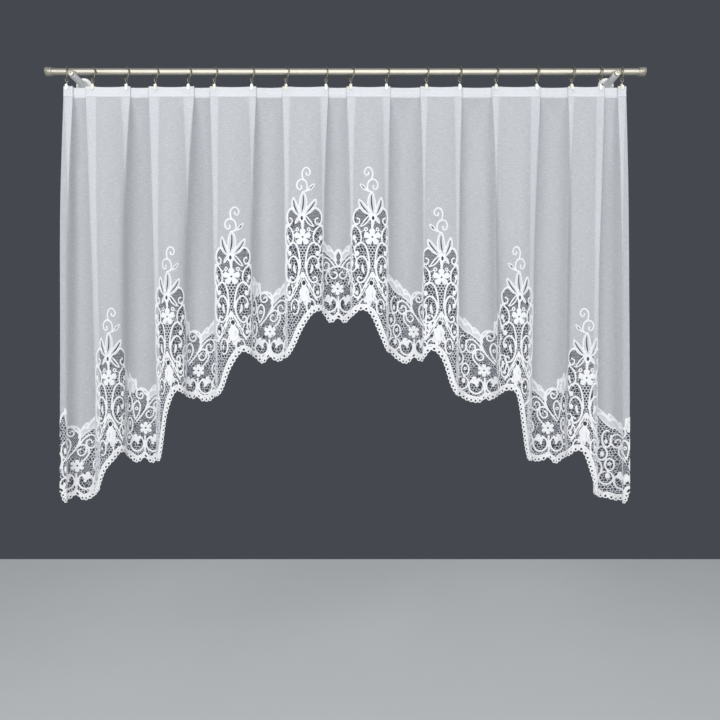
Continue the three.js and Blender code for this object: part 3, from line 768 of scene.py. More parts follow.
def laceGround(canvas, hemGap, zone, axes):
    # the meshes between the cords, each kept inside its own area and under the cords' edges
    look = laceLook
    solid = np.maximum(canvas["cord"], canvas["fill"])
    room = np.minimum.reduce([zone - look["tuck"], hemGap - look["hemBand"] + look["bandEdge"],
                              -canvas["slit"] - look["tuck"], look["underCord"] - solid])
    closed = np.minimum(room, -canvas["open"])
    areas = [("veil", np.minimum(room, canvas["open"]), 0.0),
             ("fine", np.minimum(closed, canvas["fine"]), 0.0),
             ("ground", np.minimum.reduce([closed, -canvas["fine"], -canvas["waist"]]), 0.0)]
    waist = np.minimum(closed, canvas["waist"])
    for axis in axes:
        areas.append(("waist", np.minimum(waist, look["waistReach"] - np.abs(canvas["u"] - axis)), axis))
    points, quads, count = [], [], 0
    for order, (name, area, middle) in enumerate(areas):
        newPoints, newQuads = meshCells(canvas, area, look[name], look["seed"] + order, middle)
        points.append(newPoints)
        quads.append(newQuads + count)
        count += len(newPoints)
    return np.concatenate(points), np.concatenate(quads)


def paintLace(cell=1.4):
    # the whole border, with where each spray's axis lies on the cloth
    low = float(hem["v"].min()) - laceLook["canvasTop"]
    canvas = makeCanvas(0, math.ceil(drape["width"] / cell) * cell, low, clothLook["lowest"], cell)
    axes, lowAxes = [], []
    for panel in range(len(folds) - 1):
        side = -1 if panel < middlePanel else 1
        spray = sprayDepths[abs(panel - middlePanel)]
        tall = panel % 2 == 1
        middle = spray + (laceLook["tallMiddle"] if tall else -laceLook["lowMiddle"])
        axis = (flatAt(panel, 0, middle) + flatAt(panel, 1, middle)) / 2 + sprayShifts[panel]
        if tall:
            axes.append(axis)
            paintTall(Pen(canvas, axis, spray, side, 1))
        else:
            lowAxes.append(axis)
            paintLow(Pen(canvas, axis, spray, side, -1), panel == middlePanel)
    gap, place = hemDistance(canvas)
    notchDeep, notchWide = laceLook["lobeNotch"]
    for axis in lowAxes:
        gap = gap - notchDeep * np.exp(-((canvas["u"] - axis) / notchWide) ** 2)
    stops = np.interp([0] + lowAxes + [drape["width"]], hem["u"], hem["length"])
    loops = np.cumsum([0] + [round(step / laceLook["picotPitch"]) for step in np.diff(stops)])
    place = np.interp(place, stops, loops)
    cover, zone, thick = laceCover(canvas, gap, place)
    return canvas, gap, (cover, zone, thick), laceGround(canvas, gap, zone, axes)


def hemDistance(canvas, reach=60):
    # distance inside the hem's line and the length along the line at the nearest point
    cell = canvas["cell"]
    u, v = np.meshgrid(canvas["u"], canvas["v"])
    places = canvas["u"]
    count = int(reach / cell)
    lineU = np.arange(places[0] - reach - cell, places[-1] + reach + 2 * cell, cell)
    lineV = np.interp(lineU, hem["u"], hem["v"])
    lineS = np.interp(lineU, hem["u"], hem["length"])
    best, along = np.full(u.shape, 1e9), np.zeros(u.shape)
    index = np.searchsorted(lineU, places - 1e-6)
    for shift in range(-count, count + 1):
        i = np.clip(index + shift, 0, len(lineU) - 2)
        dv = lineV[i + 1] - lineV[i]
        share = np.clip(((places - lineU[i]) * cell + (v - lineV[i]) * dv) / (cell * cell + dv * dv), 0, 1)
        gap = np.hypot(places - lineU[i] - share * cell, v - lineV[i] - share * dv)
        nearer = gap < best
        best = np.where(nearer, gap, best)
        along = np.where(nearer, lineS[i] + share * (lineS[i + 1] - lineS[i]), along)
    below = v > np.interp(places, hem["u"], hem["v"])
    return np.where(below, -best, best), along


laceCanvas, hemGap, (laceDepth, laceZone, laceThick), (groundPoints, groundQuads) = paintLace()
print("lace drawn")


def addLace(material, count=5):
    # the cut shapes and the meshes between them, split into pieces of like width
    dome, (meshUp, domeUp, cordUp) = laceLook["dome"], laceLook["relief"]
    domed = np.clip(laceDepth, 0, dome)
    points, polygons = clipGrid(laceCanvas["u"], laceCanvas["v"], laceDepth, [domed, laceThick])
    inGround = groundPoints[groundQuads[:, 0], 0] / laceCanvas["cell"]
    polygons.append((groundQuads + len(points), inGround))
    points = np.concatenate((points, groundPoints))
    raised = meshUp + domeUp * np.sqrt(points[:, 2] / dome) + cordUp * points[:, 3]
    place, _ = hang(points[:, 0], points[:, 1], raised)
    attributes = {"threadDepth": points[:, 2], "cordShare": points[:, 3]}
    pieces = []
    stops = np.linspace(0, drape["width"] + 20, count + 1) / laceCanvas["cell"]
    for number, (low, high) in enumerate(zip(stops[:-1], stops[1:]), 1):
        share = [ring[(column >= low) & (column < high)] for ring, column in polygons]
        share = [ring for ring in share if len(ring)]
        mesh = clothMesh("lace_" + str(number), points, share, place, attributes)
        pieces.append(addObject(mesh.name, mesh, [material]))
    return pieces


# The net: columns close together at the creases, cut away under the lace

netLook = {
    "column": 5.4,
    "creaseColumn": 1.8,
    "creaseReach": 7.0,         # how far from a crease the columns are close
    "creaseDepths": (60, 420),  # where the creases' places are taken
    "row": 15.0,
    "headingRows": 6,
    "laceRow": 5.6,
    "underLace": 3.0,           # how far the net runs in under the lace
}


def addNet(material):
    look, top = netLook, clothLook["top"]
    creases = [flatAt(panel, share, depth) for panel in range(len(folds) - 1)
               for share in (0, 1) for depth in look["creaseDepths"]]
    creases = np.array(creases + [folds[0][1], drape["width"] - folds[-1][1]])
    columns = [0.0]
    while columns[-1] < drape["width"]:
        near = np.abs(creases - columns[-1]).min() < look["creaseReach"]
        columns.append(min(columns[-1] + look["creaseColumn" if near else "column"], drape["width"]))
    columns = np.array(columns)
    low = laceCanvas["v"][0]
    belowHeading = top + clothLook["heading"] + 2
    rows = np.concatenate((np.linspace(top, belowHeading, look["headingRows"]),
                           np.arange(belowHeading + 12, low, look["row"]),
                           np.arange(low, clothLook["lowest"], look["laceRow"])))
    u, v = np.meshgrid(columns, rows)
    wanted = np.minimum(look["underLace"] - np.clip(laceZone, -30, 30), np.clip(hemGap, -30, 30))
    depth = atPlaces(laceCanvas, wanted, u, v)
    depth[v < low] = 20.0
    points, polygons = clipGrid(columns, rows, depth, [])
    place, _ = hang(points[:, 0], points[:, 1])
    rings = [ring for ring, _ in polygons]
    mesh = clothMesh("net", points, rings, place, {})
    return addObject("net", mesh, [material]), flatArea(points, rings)


tapeLook = {"inset": 0.6, "margin": 1.0, "column": 2.0, "rows": 6, "behind": 1.2}


def addHeadingTape(material):
    look = tapeLook
    u = np.arange(look["inset"], drape["width"] - look["inset"], look["column"])
    v = clothLook["top"] + np.linspace(look["margin"], clothLook["heading"] - look["margin"], look["rows"])
    points, polygons = clipGrid(u, v, np.ones((len(v), len(u))), [])
    place, _ = hang(points[:, 0], points[:, 1], -look["behind"])
    mesh = clothMesh("heading tape", points, [ring for ring, _ in polygons], place, {})
    return addObject("tape_band", mesh, [material])


# Geometry Nodes for what repeats

def newGroup(name, inputs):
    group = bpy.data.node_groups.new(name, "GeometryNodeTree")
    group.interface.new_socket("Geometry", in_out="INPUT", socket_type="NodeSocketGeometry")
    for title, kind in inputs.items():
        group.interface.new_socket(title, in_out="INPUT", socket_type="NodeSocket" + kind)
    group.interface.new_socket("Geometry", in_out="OUTPUT", socket_type="NodeSocketGeometry")
    return group, addNode(group, "NodeGroupInput").outputs


def finishGroup(group, geometry, material):
    real = addNode(group, "GeometryNodeRealizeInstances", links={"Geometry": geometry})
    painted = addNode(group, "GeometryNodeSetMaterial", links={
        "Geometry": real.outputs[0], "Material": material})
    addNode(group, "NodeGroupOutput", links={"Geometry": painted.outputs[0]})


def grown(name, mesh, group, values):
    # runs a node group on a mesh and keeps the outcome as a plain mesh
    source = addObject(name + " source", mesh)
    modifier = source.modifiers.new("grow", "NODES")
    modifier.node_group = group
    for item in group.interface.items_tree:
        if item.in_out == "INPUT" and item.name in values:
            modifier[item.identifier] = values[item.name]
    seen = source.evaluated_get(bpy.context.evaluated_depsgraph_get())
    plain = bpy.data.meshes.new_from_object(seen)
    plain.name = name
    bpy.data.objects.remove(source)
    return addObject(name, plain)


def wireLoop(group, radius, wire, steps, sides):
    circle = addNode(group, "GeometryNodeCurvePrimitiveCircle", {"Resolution": steps}, {"Radius": radius})
    profile = addNode(group, "GeometryNodeCurvePrimitiveCircle", {"Resolution": sides}, {"Radius": wire})
    tube = addNode(group, "GeometryNodeCurveToMesh", links={
        "Curve": circle.outputs[0], "Profile Curve": profile.outputs[0]})
    return addNode(group, "GeometryNodeSetShadeSmooth", links={"Geometry": tube.outputs[0]}).outputs[0]


def standing(group, firstTurn):
    # a rotation that first turns about Y, where asked, and then about Z by the point's own turn
    turn = addNode(group, "GeometryNodeInputNamedAttribute", {"data_type": "FLOAT", "Name": "turn"})
    angles = addNode(group, "ShaderNodeCombineXYZ", firstTurn, {"Z": turn.outputs["Attribute"]})
    return addNode(group, "FunctionNodeEulerToRotation", links={"Euler": angles.outputs[0]}).outputs[0]


# Clip rings of bent wire, each turned a little on the rod

ringLook = {
    "radius": 17.5,
    "wire": 2.0,
    "drop": 5.2,        # middle of the ring below the rod's axis
    "steps": (72, 14),  # round the ring and round its wire
}

# place along the rod and turn in degrees
rings = [
    (-836, 22), (-758, 42), (-657, 41), (-570, 42), (-471, 38), (-393, 37), (-281, 30), (-178, 33),
    (-58, 16), (16, 36), (123, 28), (243, 18), (343, 13), (452, 14), (574, 13), (679, 18), (765, 3),
    (830, -10),
]


def ringPoints(name, drop):
    # a point for each ring, with its turn, and a tint that is 0 and 1 by turns
    mesh = toMesh(name, [(x * mm, -wallDistance * mm, -drop * mm) for x, _ in rings], [])
    turns = [math.radians(turn) for _, turn in rings]
    mesh.attributes.new("turn", "FLOAT", "POINT").data.foreach_set("value", turns)
    tints = [float(index % 2) for index in range(len(rings))]
    mesh.attributes.new("tint", "FLOAT", "POINT").data.foreach_set("value", tints)
    return mesh


def addRings(material):
    look = ringLook
    group, given = newGroup("wire rings", {"Radius": "Float", "Wire": "Float", "Material": "Material"})
    loop = wireLoop(group, given["Radius"], given["Wire"], *look["steps"])
    placed = addNode(group, "GeometryNodeInstanceOnPoints", links={
        "Points": given["Geometry"], "Instance": loop, "Rotation": standing(group, {"Y": math.pi / 2})})
    finishGroup(group, placed.outputs[0], given["Material"])
    return grown("wire_rings", ringPoints("ring points", look["drop"]), group, {
        "Radius": look["radius"] * mm, "Wire": look["wire"] * mm, "Material": material})


# Clips: a sprung plastic jaw on a wire eye, white and cream by turns

clipLook = {
    "width": 8.0,
    "top": -37.0,
    "bottom": -55.5,
    "jaw": 1.6,                     # thickness of a jaw
    "slotFront": -83.5,             # the slot that holds the cloth
    "slotBack": -75.2,
    "slotTop": -44.1,
    "edge": 0.45,                   # rounding at the sides
    "eye": (5.3, 0.8, -25.6),       # radius, half the wire's thickness and height
    "eyeShape": (0.72, 1, 1),
    "eyeSteps": (28, 8),
    "neck": (1.1, 7.4, -34.2),      # radius, length and height
    "spring": (1.8, 5.4),           # radius and length
    "springPlace": (3.4, -4.2, -40.2),
}


def clipModel():
    look = clipLook
    slotFront, slotBack, top, bottom = look["slotFront"], look["slotBack"], look["top"], look["bottom"]
    front, back = slotFront - look["jaw"], slotBack + look["jaw"]
    outline = [(front + 0.5, bottom), (slotFront - 0.1, bottom + 0.2), (slotFront, look["slotTop"]),
               (slotBack, look["slotTop"]), (slotBack + 0.1, bottom + 0.2), (back - 0.5, bottom),
               (back, bottom + 3), (back, top - 3.4), (back - 2.2, top - 0.6), (back - 4.2, top),
               (front + 4.2, top), (front + 2.2, top - 0.6), (front, top - 3.4), (front, bottom + 3)]
    half, edge = look["width"] / 2, look["edge"]
    count = len(outline)
    points, faces = [], []
    for x, inset in ((-half, edge), (-half + edge, 0.0), (half - edge, 0.0), (half, edge)):
        for y, z in outline:
            pull = inset if slotFront - 0.3 > y or y > slotBack + 0.3 else 0
            points.append((x, y + (pull if y < -wallDistance else -pull), z - (inset if z > -40 else 0)))
    for ring in range(3):
        for k in range(count):
            a, b = ring * count + k, ring * count + (k + 1) % count
            faces.append((a, b, b + count, a + count))
    faces.append(tuple(reversed(range(count))))
    faces.append(tuple(range(3 * count, 4 * count)))
    mesh = toMesh("clip body", (np.array(points) + (0, wallDistance, 0)) * mm, faces)
    mesh.set_sharp_from_angle(angle=math.radians(34))
    return mesh


def addClips(plastic, eyeMetal, springMetal):
    look = clipLook
    eyeRadius, eyeWire, eyeHeight = look["eye"]
    neckRadius, neckLength, neckHeight = look["neck"]
    springRadius, springLength = look["spring"]
    group, given = newGroup("clips", {"Eye Radius": "Float", "Eye Wire": "Float", "Body": "Object",
                                      "Plastic": "Material", "Steel": "Material", "Spring": "Material"})
    eye = wireLoop(group, given["Eye Radius"], given["Eye Wire"], *look["eyeSteps"])
    eyeDown = addNode(group, "GeometryNodeTransform", {
        "Translation": (0, 0, eyeHeight * mm), "Rotation": (math.pi / 2, 0, 0), "Scale": look["eyeShape"]},
        {"Geometry": eye})
    neck = addNode(group, "GeometryNodeMeshCylinder", {
        "Vertices": 12, "Radius": neckRadius * mm, "Depth": neckLength * mm})
    neckDown = addNode(group, "GeometryNodeTransform", {"Translation": (0, 0, neckHeight * mm)},
                       {"Geometry": neck.outputs[0]})
    spring = addNode(group, "GeometryNodeMeshCylinder", {
        "Vertices": 20, "Radius": springRadius * mm, "Depth": springLength * mm})
    springUp = addNode(group, "GeometryNodeTransform", {
        "Translation": tuple(part * mm for part in look["springPlace"]), "Rotation": (0, math.pi / 2, 0)},
        {"Geometry": spring.outputs[0]})
    springPart = addNode(group, "GeometryNodeSetMaterial", links={
        "Geometry": springUp.outputs[0], "Material": given["Spring"]})
    wires = addNode(group, "GeometryNodeJoinGeometry", links={
        "Geometry": (eyeDown.outputs[0], neckDown.outputs[0])})
    wirePart = addNode(group, "GeometryNodeSetMaterial", links={
        "Geometry": wires.outputs[0], "Material": given["Steel"]})
    steel = addNode(group, "GeometryNodeJoinGeometry", links={
        "Geometry": (wirePart.outputs[0], springPart.outputs[0])})
    steelParts = addNode(group, "GeometryNodeSetShadeSmooth", links={"Geometry": steel.outputs[0]})
    body = addNode(group, "GeometryNodeObjectInfo", links={"Object": given["Body"]})
    bodyParts = addNode(group, "GeometryNodeSetMaterial", links={
        "Geometry": body.outputs["Geometry"], "Material": given["Plastic"]})
    turnedWires = addNode(group, "GeometryNodeInstanceOnPoints", links={
        "Points": given["Geometry"], "Instance": steelParts.outputs[0], "Rotation": standing(group, {})})
    bodies = addNode(group, "GeometryNodeInstanceOnPoints", links={
        "Points": given["Geometry"], "Instance": bodyParts.outputs[0]})
    both = addNode(group, "GeometryNodeJoinGeometry", links={
        "Geometry": (turnedWires.outputs[0], bodies.outputs[0])})
    real = addNode(group, "GeometryNodeRealizeInstances", links={"Geometry": both.outputs[0]})
    addNode(group, "NodeGroupOutput", links={"Geometry": real.outputs[0]})
    model = addObject("clip body", clipModel())
    clips = grown("jaw_clips", ringPoints("clip points", 0.0), group, {
        "Eye Radius": eyeRadius * mm, "Eye Wire": eyeWire * mm, "Body": model,
        "Plastic": plastic, "Steel": eyeMetal, "Spring": springMetal})
    bpy.data.objects.remove(model)
    return clips


# Rows of stitches that hold the heading tape

stitchLook = {
    "rows": (3.5, 15.0, 26.5),  # below the top edge
    "pitch": 4.6,
    "length": 3.3,
    "thread": 0.42,             # half the thickness of a stitch
    "inset": 1.0,
    "lift": 0.25,               # of the stitches' line over the cloth
}


def addStitches(material):
    look = stitchLook
    u = np.arange(look["inset"], drape["width"] - look["inset"], 1.0)
    points, edges = [], []
    for down in look["rows"]:
        place, _ = hang(u, np.full(len(u), clothLook["top"] + down), look["lift"])
        edges += [(len(points) + k, len(points) + k + 1) for k in range(len(u) - 1)]
        points += [tuple(p * mm) for p in place]
    mesh = bpy.data.meshes.new("stitch rows")
    mesh.from_pydata(points, edges, [])
    group, given = newGroup("stitches", {
        "Pitch": "Float", "Length": "Float", "Thread": "Float", "Material": "Material"})
    curve = addNode(group, "GeometryNodeMeshToCurve", links={"Mesh": given["Geometry"]})
    spaced = addNode(group, "GeometryNodeResampleCurve", {"mode": "LENGTH"}, {
        "Curve": curve.outputs[0], "Length": given["Pitch"]})
    bead = addNode(group, "GeometryNodeMeshIcoSphere", {"Subdivisions": 1, "Radius": 1.0})
    size = addNode(group, "ShaderNodeCombineXYZ", links={
        "X": given["Thread"], "Y": given["Thread"], "Z": given["Length"]})
    stitch = addNode(group, "GeometryNodeTransform", links={
        "Geometry": bead.outputs[0], "Scale": size.outputs[0]})
    along = addNode(group, "GeometryNodeCurveToPoints", {"mode": "EVALUATED"}, {"Curve": spaced.outputs[0]})
    placed = addNode(group, "GeometryNodeInstanceOnPoints", links={
        "Points": along.outputs["Points"], "Instance": stitch.outputs[0],
        "Rotation": along.outputs["Rotation"]})
    smooth = addNode(group, "GeometryNodeSetShadeSmooth", links={"Geometry": placed.outputs[0]})
    finishGroup(group, smooth.outputs[0], given["Material"])
    return grown("tape_stitches", mesh, group, {
        "Pitch": look["pitch"] * mm, "Length": look["length"] / 2 * mm,
        "Thread": look["thread"] * mm, "Material": material})


# Rod, end caps and brackets in satin nickel

rodLook = {
    "radius": 9.5,
    "length": 1764.0,
    "capRadius": 12.5,
    "capLength": 20.0,
    "capSpan": 1798.0,      # over both caps
    "capSocket": 14.0,      # how deep the rod's end goes in
    "clearance": 0.3,
    "edge": 0.6,            # small bevels
    "sides": 64,
}
bracketLook = {
    "left": -817.0,
    "right": 810.0,
    "drop": 11.0,           # the arm's axis below the rod's
    "plate": 25.0,
    "thickness": 4.0,
    "arm": 10.0,
    "armMiddle": -40.0,
    "reach": 15.0,          # how far the arm ends before the rod's axis
    "knob": 10.0,
}
# how the bell behind the arm narrows: distance from the wall and radius
bell = [(3.9, 23.0), (4.6, 21.4), (5.8, 19.4), (7.0, 17.6), (9.2, 15.6), (12.0, 13.9), (15.5, 12.5),
        (20.0, 11.3), (25.5, 10.4), (32.0, 10.0)]


def revolved(profile, sides, turn, place):
    # points and faces of (radius, along) turned about the local Z axis, then set in place
    points, faces = [], []
    for radius, along in profile:
        for k in range(sides):
            angle = 2 * math.pi * k / sides
            spot = Vector((radius * math.cos(angle), radius * math.sin(angle), along))
            points.append(tuple((turn @ spot + Vector(place)) * mm))
    for ring in range(len(profile) - 1):
        for k in range(sides):
            a, b = ring * sides + k, ring * sides + (k + 1) % sides
            faces.append((a, b, b + sides, a + sides))
    if profile[0][0] > 0:
        faces.append(tuple(reversed(range(sides))))
    if profile[-1][0] > 0:
        faces.append(tuple(range(len(points) - sides, len(points))))
    return points, faces


def addTurned(name, profile, direction, place, material):
    turn = Vector(direction).to_track_quat("Z", "Y").to_matrix()
    mesh = toMesh(name, *revolved(profile, rodLook["sides"], turn, place))
    mesh.validate()
    mesh.set_sharp_from_angle(angle=math.radians(36))
    return addObject(name, mesh, [material])


def addRodAndCaps(material):
    look = rodLook
    radius, half, edge = look["radius"], look["length"] / 2, look["edge"]
    axis = (0, -wallDistance, 0)
    tube = [(radius - edge, -half), (radius, -half + edge), (radius, half - edge), (radius - edge, half)]
    pieces = [addTurned("rod_tube", tube, (1, 0, 0), axis, material)]
    cap, outer, hole = look["capRadius"], look["capSpan"] / 2, radius + look["clearance"]
    mouth = outer - look["capLength"]
    floor = mouth + look["capSocket"]
    groove = [(cap, mouth + 4), (cap - 1.2, mouth + 5), (cap - 1.2, mouth + 7), (cap, mouth + 8)]
    profile = [(0.01, floor), (hole, floor), (hole, mouth), (cap - 0.5, mouth), (cap, mouth + 0.5)] + groove
    profile += [(cap, outer - 1.6), (cap - 0.5, outer - 0.5), (cap - 1.6, outer), (0.01, outer)]
    for side, name in ((-1, "cap_left"), (1, "cap_right")):
        pieces.append(addTurned(name, profile, (side, 0, 0), axis, material))
    return pieces


def saddledArm(x, sides=72, rows=40):
    # a thick arm below the rod, with the saddle that the rod lies in cut across its top
    look, edge = bracketLook, rodLook["edge"]
    bore = rodLook["radius"] + rodLook["clearance"]
    front = -wallDistance - look["reach"]
    saddle = np.linspace(-wallDistance - bore - 0.4, -wallDistance + bore + 0.4, rows)
    stations = [front, front + edge, *saddle, look["armMiddle"]] + [-out for out, _ in reversed(bell)]
    bellOut, bellRadius = zip(*bell)
    points, faces = [], []
    for y in stations:
        radius = np.interp(-y, bellOut, bellRadius) - (edge if y == front else 0)
        offset = y + wallDistance
        floor = -math.sqrt(bore * bore - offset * offset) if abs(offset) < bore else math.inf
        for k in range(sides):
            angle = 2 * math.pi * k / sides
            z = -look["drop"] + radius * math.sin(angle)
            points.append(((x + radius * math.cos(angle)) * mm, y * mm, min(z, floor) * mm))
    for ring in range(len(stations) - 1):
        for k in range(sides):
            a, b = ring * sides + k, ring * sides + (k + 1) % sides
            faces.append((a, a + sides, b + sides, b))
    faces.append(tuple(range(sides)))
    mesh = toMesh("arm", points, faces)
    mesh.set_sharp_from_angle(angle=math.radians(36))
    return mesh


def addBrackets(material):
    look = bracketLook
    plate, thick, knob, edge = look["plate"], look["thickness"], look["knob"], rodLook["edge"]
    start = look["reach"] + rodLook["clearance"]
    plateProfile = [(plate - edge, 0.0), (plate, edge), (plate, thick - 1.0), (plate - 1.0, thick),
                    (look["arm"], thick - 0.2)]
    knobProfile = [(0.01, start), (knob - 0.4, start), (knob, start + 0.4), (knob, start + 4.7),
                   (knob - 0.5, start + 5.6), (knob - 1.3, start + 6.0), (3.6, start + 6.0),
                   (3.0, start + 5.5), (2.4, start + 4.9), (0.01, start + 4.6)]
    pieces = []
    for side in ("left", "right"):
        x, out = look[side], (0, -1, 0)
        bracket = addTurned(side + "_bracket", plateProfile, out, (x, 0, -look["drop"]), material)
        joinMesh(bracket, saddledArm(x))
        screw = addTurned(side + "_screw", knobProfile, out, (x, -wallDistance, -look["drop"]), material)
        pieces += [bracket, screw]
    return pieces


def joinMesh(thing, mesh):
    other = addObject("joined", mesh)
    with bpy.context.temp_override(active_object=thing, selected_editable_objects=[thing, other]):
        bpy.ops.object.join()


# Materials

def satinNickel():
    # plated steel, drawn along the rod, with the warm tone of satin nickel
    material, tree = newMaterial("satin nickel")
    place = addNode(tree, "ShaderNodeTexCoord").outputs["Object"]
    drawn = addNode(tree, "ShaderNodeMapping", {"Scale": (4.0, 1500.0, 1500.0)}, {"Vector": place})
    grain = addNode(tree, "ShaderNodeTexNoise", {"Scale": 1.0, "Detail": 3.0}, {"Vector": drawn.outputs[0]})
    wear = addNode(tree, "ShaderNodeTexNoise", {"Scale": 40.0, "Detail": 2.0}, {"Vector": place})
    rough = addNode(tree, "ShaderNodeMapRange", {"To Min": 0.22, "To Max": 0.28}, {"Value": grain.outputs[0]})
    tone = addNode(tree, "ShaderNodeMix", {
        "data_type": "RGBA", 6: linear("#bcb7a9"), 7: linear("#c9c4b7")}, {0: wear.outputs[0]})
    shader = addNode(tree, "ShaderNodeBsdfPrincipled", {"Metallic": 1.0}, {
        "Base Color": tone.outputs[2], "Roughness": rough.outputs[0]})
    addNode(tree, "ShaderNodeOutputMaterial", links={"Surface": shader.outputs[0]})
    return material


def bareSteel(name, colour, roughness):
    # bent steel wire with slightly uneven polish
    material, tree = newMaterial(name)
    place = addNode(tree, "ShaderNodeTexCoord").outputs["Object"]
    wear = addNode(tree, "ShaderNodeTexNoise", {"Scale": 300.0, "Detail": 2.0}, {"Vector": place})
    rough = addNode(tree, "ShaderNodeMapRange", {"To Min": roughness, "To Max": roughness + 0.14}, {
        "Value": wear.outputs[0]})
    shader = addNode(tree, "ShaderNodeBsdfPrincipled", {"Metallic": 1.0, "Base Color": linear(colour)}, {
        "Roughness": rough.outputs[0]})
    addNode(tree, "ShaderNodeOutputMaterial", links={"Surface": shader.outputs[0]})
    return material


def clipPlastic():
    # moulded nylon, white on one clip and cream on the next
    material, tree = newMaterial("clip plastic")
    tint = addNode(tree, "ShaderNodeAttribute", {"attribute_name": "tint"})
    place = addNode(tree, "ShaderNodeTexCoord").outputs["Object"]
    mottle = addNode(tree, "ShaderNodeTexNoise", {"Scale": 220.0}, {"Vector": place})
    tone = addNode(tree, "ShaderNodeMix", {
        "data_type": "RGBA", 6: linear("#f0f0ef"), 7: linear("#dfdacb")}, {0: tint.outputs["Fac"]})
    rough = addNode(tree, "ShaderNodeMapRange", {"To Min": 0.38, "To Max": 0.5}, {"Value": mottle.outputs[0]})
    shader = addNode(tree, "ShaderNodeBsdfPrincipled", links={
        "Base Color": tone.outputs[2], "Roughness": rough.outputs[0]})
    addNode(tree, "ShaderNodeOutputMaterial", links={"Surface": shader.outputs[0]})
    return material


def threadPattern(tree, across, down):
    # a grid of threads from the flat place, across and down apart in millimetres
    place = addNode(tree, "ShaderNodeUVMap", {"uv_map": "flat"})
    stray = addNode(tree, "ShaderNodeTexNoise", {"Scale": 60.0, "Detail": 2.0}, {"Vector": place.outputs[0]})
    bent = addNode(tree, "ShaderNodeVectorMath", {"operation": "MULTIPLY_ADD", 1: (0.0012, 0.0012, 0)}, {
        0: stray.outputs["Color"], 2: place.outputs[0]})
    parts = addNode(tree, "ShaderNodeSeparateXYZ", links={0: bent.outputs[0]})
    ways = {}
    for slot, (socket, pitch) in enumerate((("X", across), ("Y", down))):
        phase = addNode(tree, "ShaderNodeMath", {"operation": "MULTIPLY", 1: 2 * math.pi / (pitch * mm)}, {
            0: parts.outputs[socket]})
        wave = addNode(tree, "ShaderNodeMath", {"operation": "SINE"}, {0: phase.outputs[0]})
        share = addNode(tree, "ShaderNodeMapRange", {"From Min": -1.0}, {"Value": wave.outputs[0]})
        ways[slot] = share.outputs[0]
    threads = addNode(tree, "ShaderNodeMath", {"operation": "MAXIMUM"}, ways)
    return place.outputs[0], threads.outputs[0]


def clothShader(tree, colour, cover, normal, glow=0.35):
    # light goes through the threads as well as between them; cover is how much they close
    shine = addNode(tree, "ShaderNodeBsdfPrincipled", {"Roughness": 0.9, "Specular IOR Level": 0.25}, {
        "Base Color": colour, "Normal": normal})
    through = addNode(tree, "ShaderNodeBsdfTranslucent", links={"Color": colour, "Normal": normal})
    thread = addNode(tree, "ShaderNodeMixShader", {0: glow}, {1: shine.outputs[0], 2: through.outputs[0]})
    clear = addNode(tree, "ShaderNodeBsdfTransparent")
    both = addNode(tree, "ShaderNodeMixShader", links={0: cover, 1: clear.outputs[0], 2: thread.outputs[0]})
    addNode(tree, "ShaderNodeOutputMaterial", links={"Surface": both.outputs[0]})


def sheerNet():
    # fine polyester net with faint crosswise ribs and small slubs in the yarn. Its threads
    # are drawn 1.5 and 1.1 mm apart, coarser than real ones, to show in a close view.
    material, tree = newMaterial("sheer net")
    place, threads = threadPattern(tree, 1.5, 1.1)
    flattened = addNode(tree, "ShaderNodeMapping", {"Scale": (55.0, 560.0, 1.0)}, {"Vector": place})
    rib = addNode(tree, "ShaderNodeTexNoise", {"Scale": 1.0, "Detail": 3.0, "Roughness": 0.65}, {
        "Vector": flattened.outputs[0]})
    slubPlace = addNode(tree, "ShaderNodeMapping", {"Scale": (230.0, 520.0, 1.0)}, {"Vector": place})
    slub = addNode(tree, "ShaderNodeTexNoise", {"Scale": 1.0, "Detail": 1.0}, {
        "Vector": slubPlace.outputs[0]})
    slubs = addNode(tree, "ShaderNodeMapRange", {"From Min": 0.66, "From Max": 0.73}, {
        "Value": slub.outputs[0]})
    base = addNode(tree, "ShaderNodeMapRange", {"To Min": 0.57, "To Max": 0.76}, {"Value": threads})
    ribbed = addNode(tree, "ShaderNodeMapRange", {
        "From Min": 0.3, "From Max": 0.7, "To Min": -0.08, "To Max": 0.08}, {"Value": rib.outputs[0]})
    cover = addNode(tree, "ShaderNodeMath", {"operation": "ADD"}, {0: base.outputs[0], 1: ribbed.outputs[0]})
    # the cloth is turned over once along the heading, so it is closer and whiter there
    foot = clothLook["top"] + clothLook["heading"]
    down = addNode(tree, "ShaderNodeSeparateXYZ", links={0: place})
    heading = addNode(tree, "ShaderNodeMapRange", {
        "From Min": (foot - 0.6) * mm, "From Max": (foot + 0.6) * mm, "To Min": 0.5, "To Max": 0.0}, {
        "Value": down.outputs["Y"]})
    close = addNode(tree, "ShaderNodeMath", {"operation": "MAXIMUM"}, {
        0: slubs.outputs[0], 1: heading.outputs[0]})
    full = addNode(tree, "ShaderNodeMath", {"operation": "MULTIPLY_ADD", "use_clamp": True, 1: 0.3}, {
        0: close.outputs[0], 2: cover.outputs[0]})
    tone = addNode(tree, "ShaderNodeMix", {
        "data_type": "RGBA", 6: linear("#e5e7ea"), 7: linear("#f8f9fb")}, {0: close.outputs[0]})
    bump = addNode(tree, "ShaderNodeBump", {"Strength": 0.25, "Distance": 0.0003}, {"Height": threads})
    clothShader(tree, tone.outputs[2], full.outputs[0], bump.outputs[0])
    return material


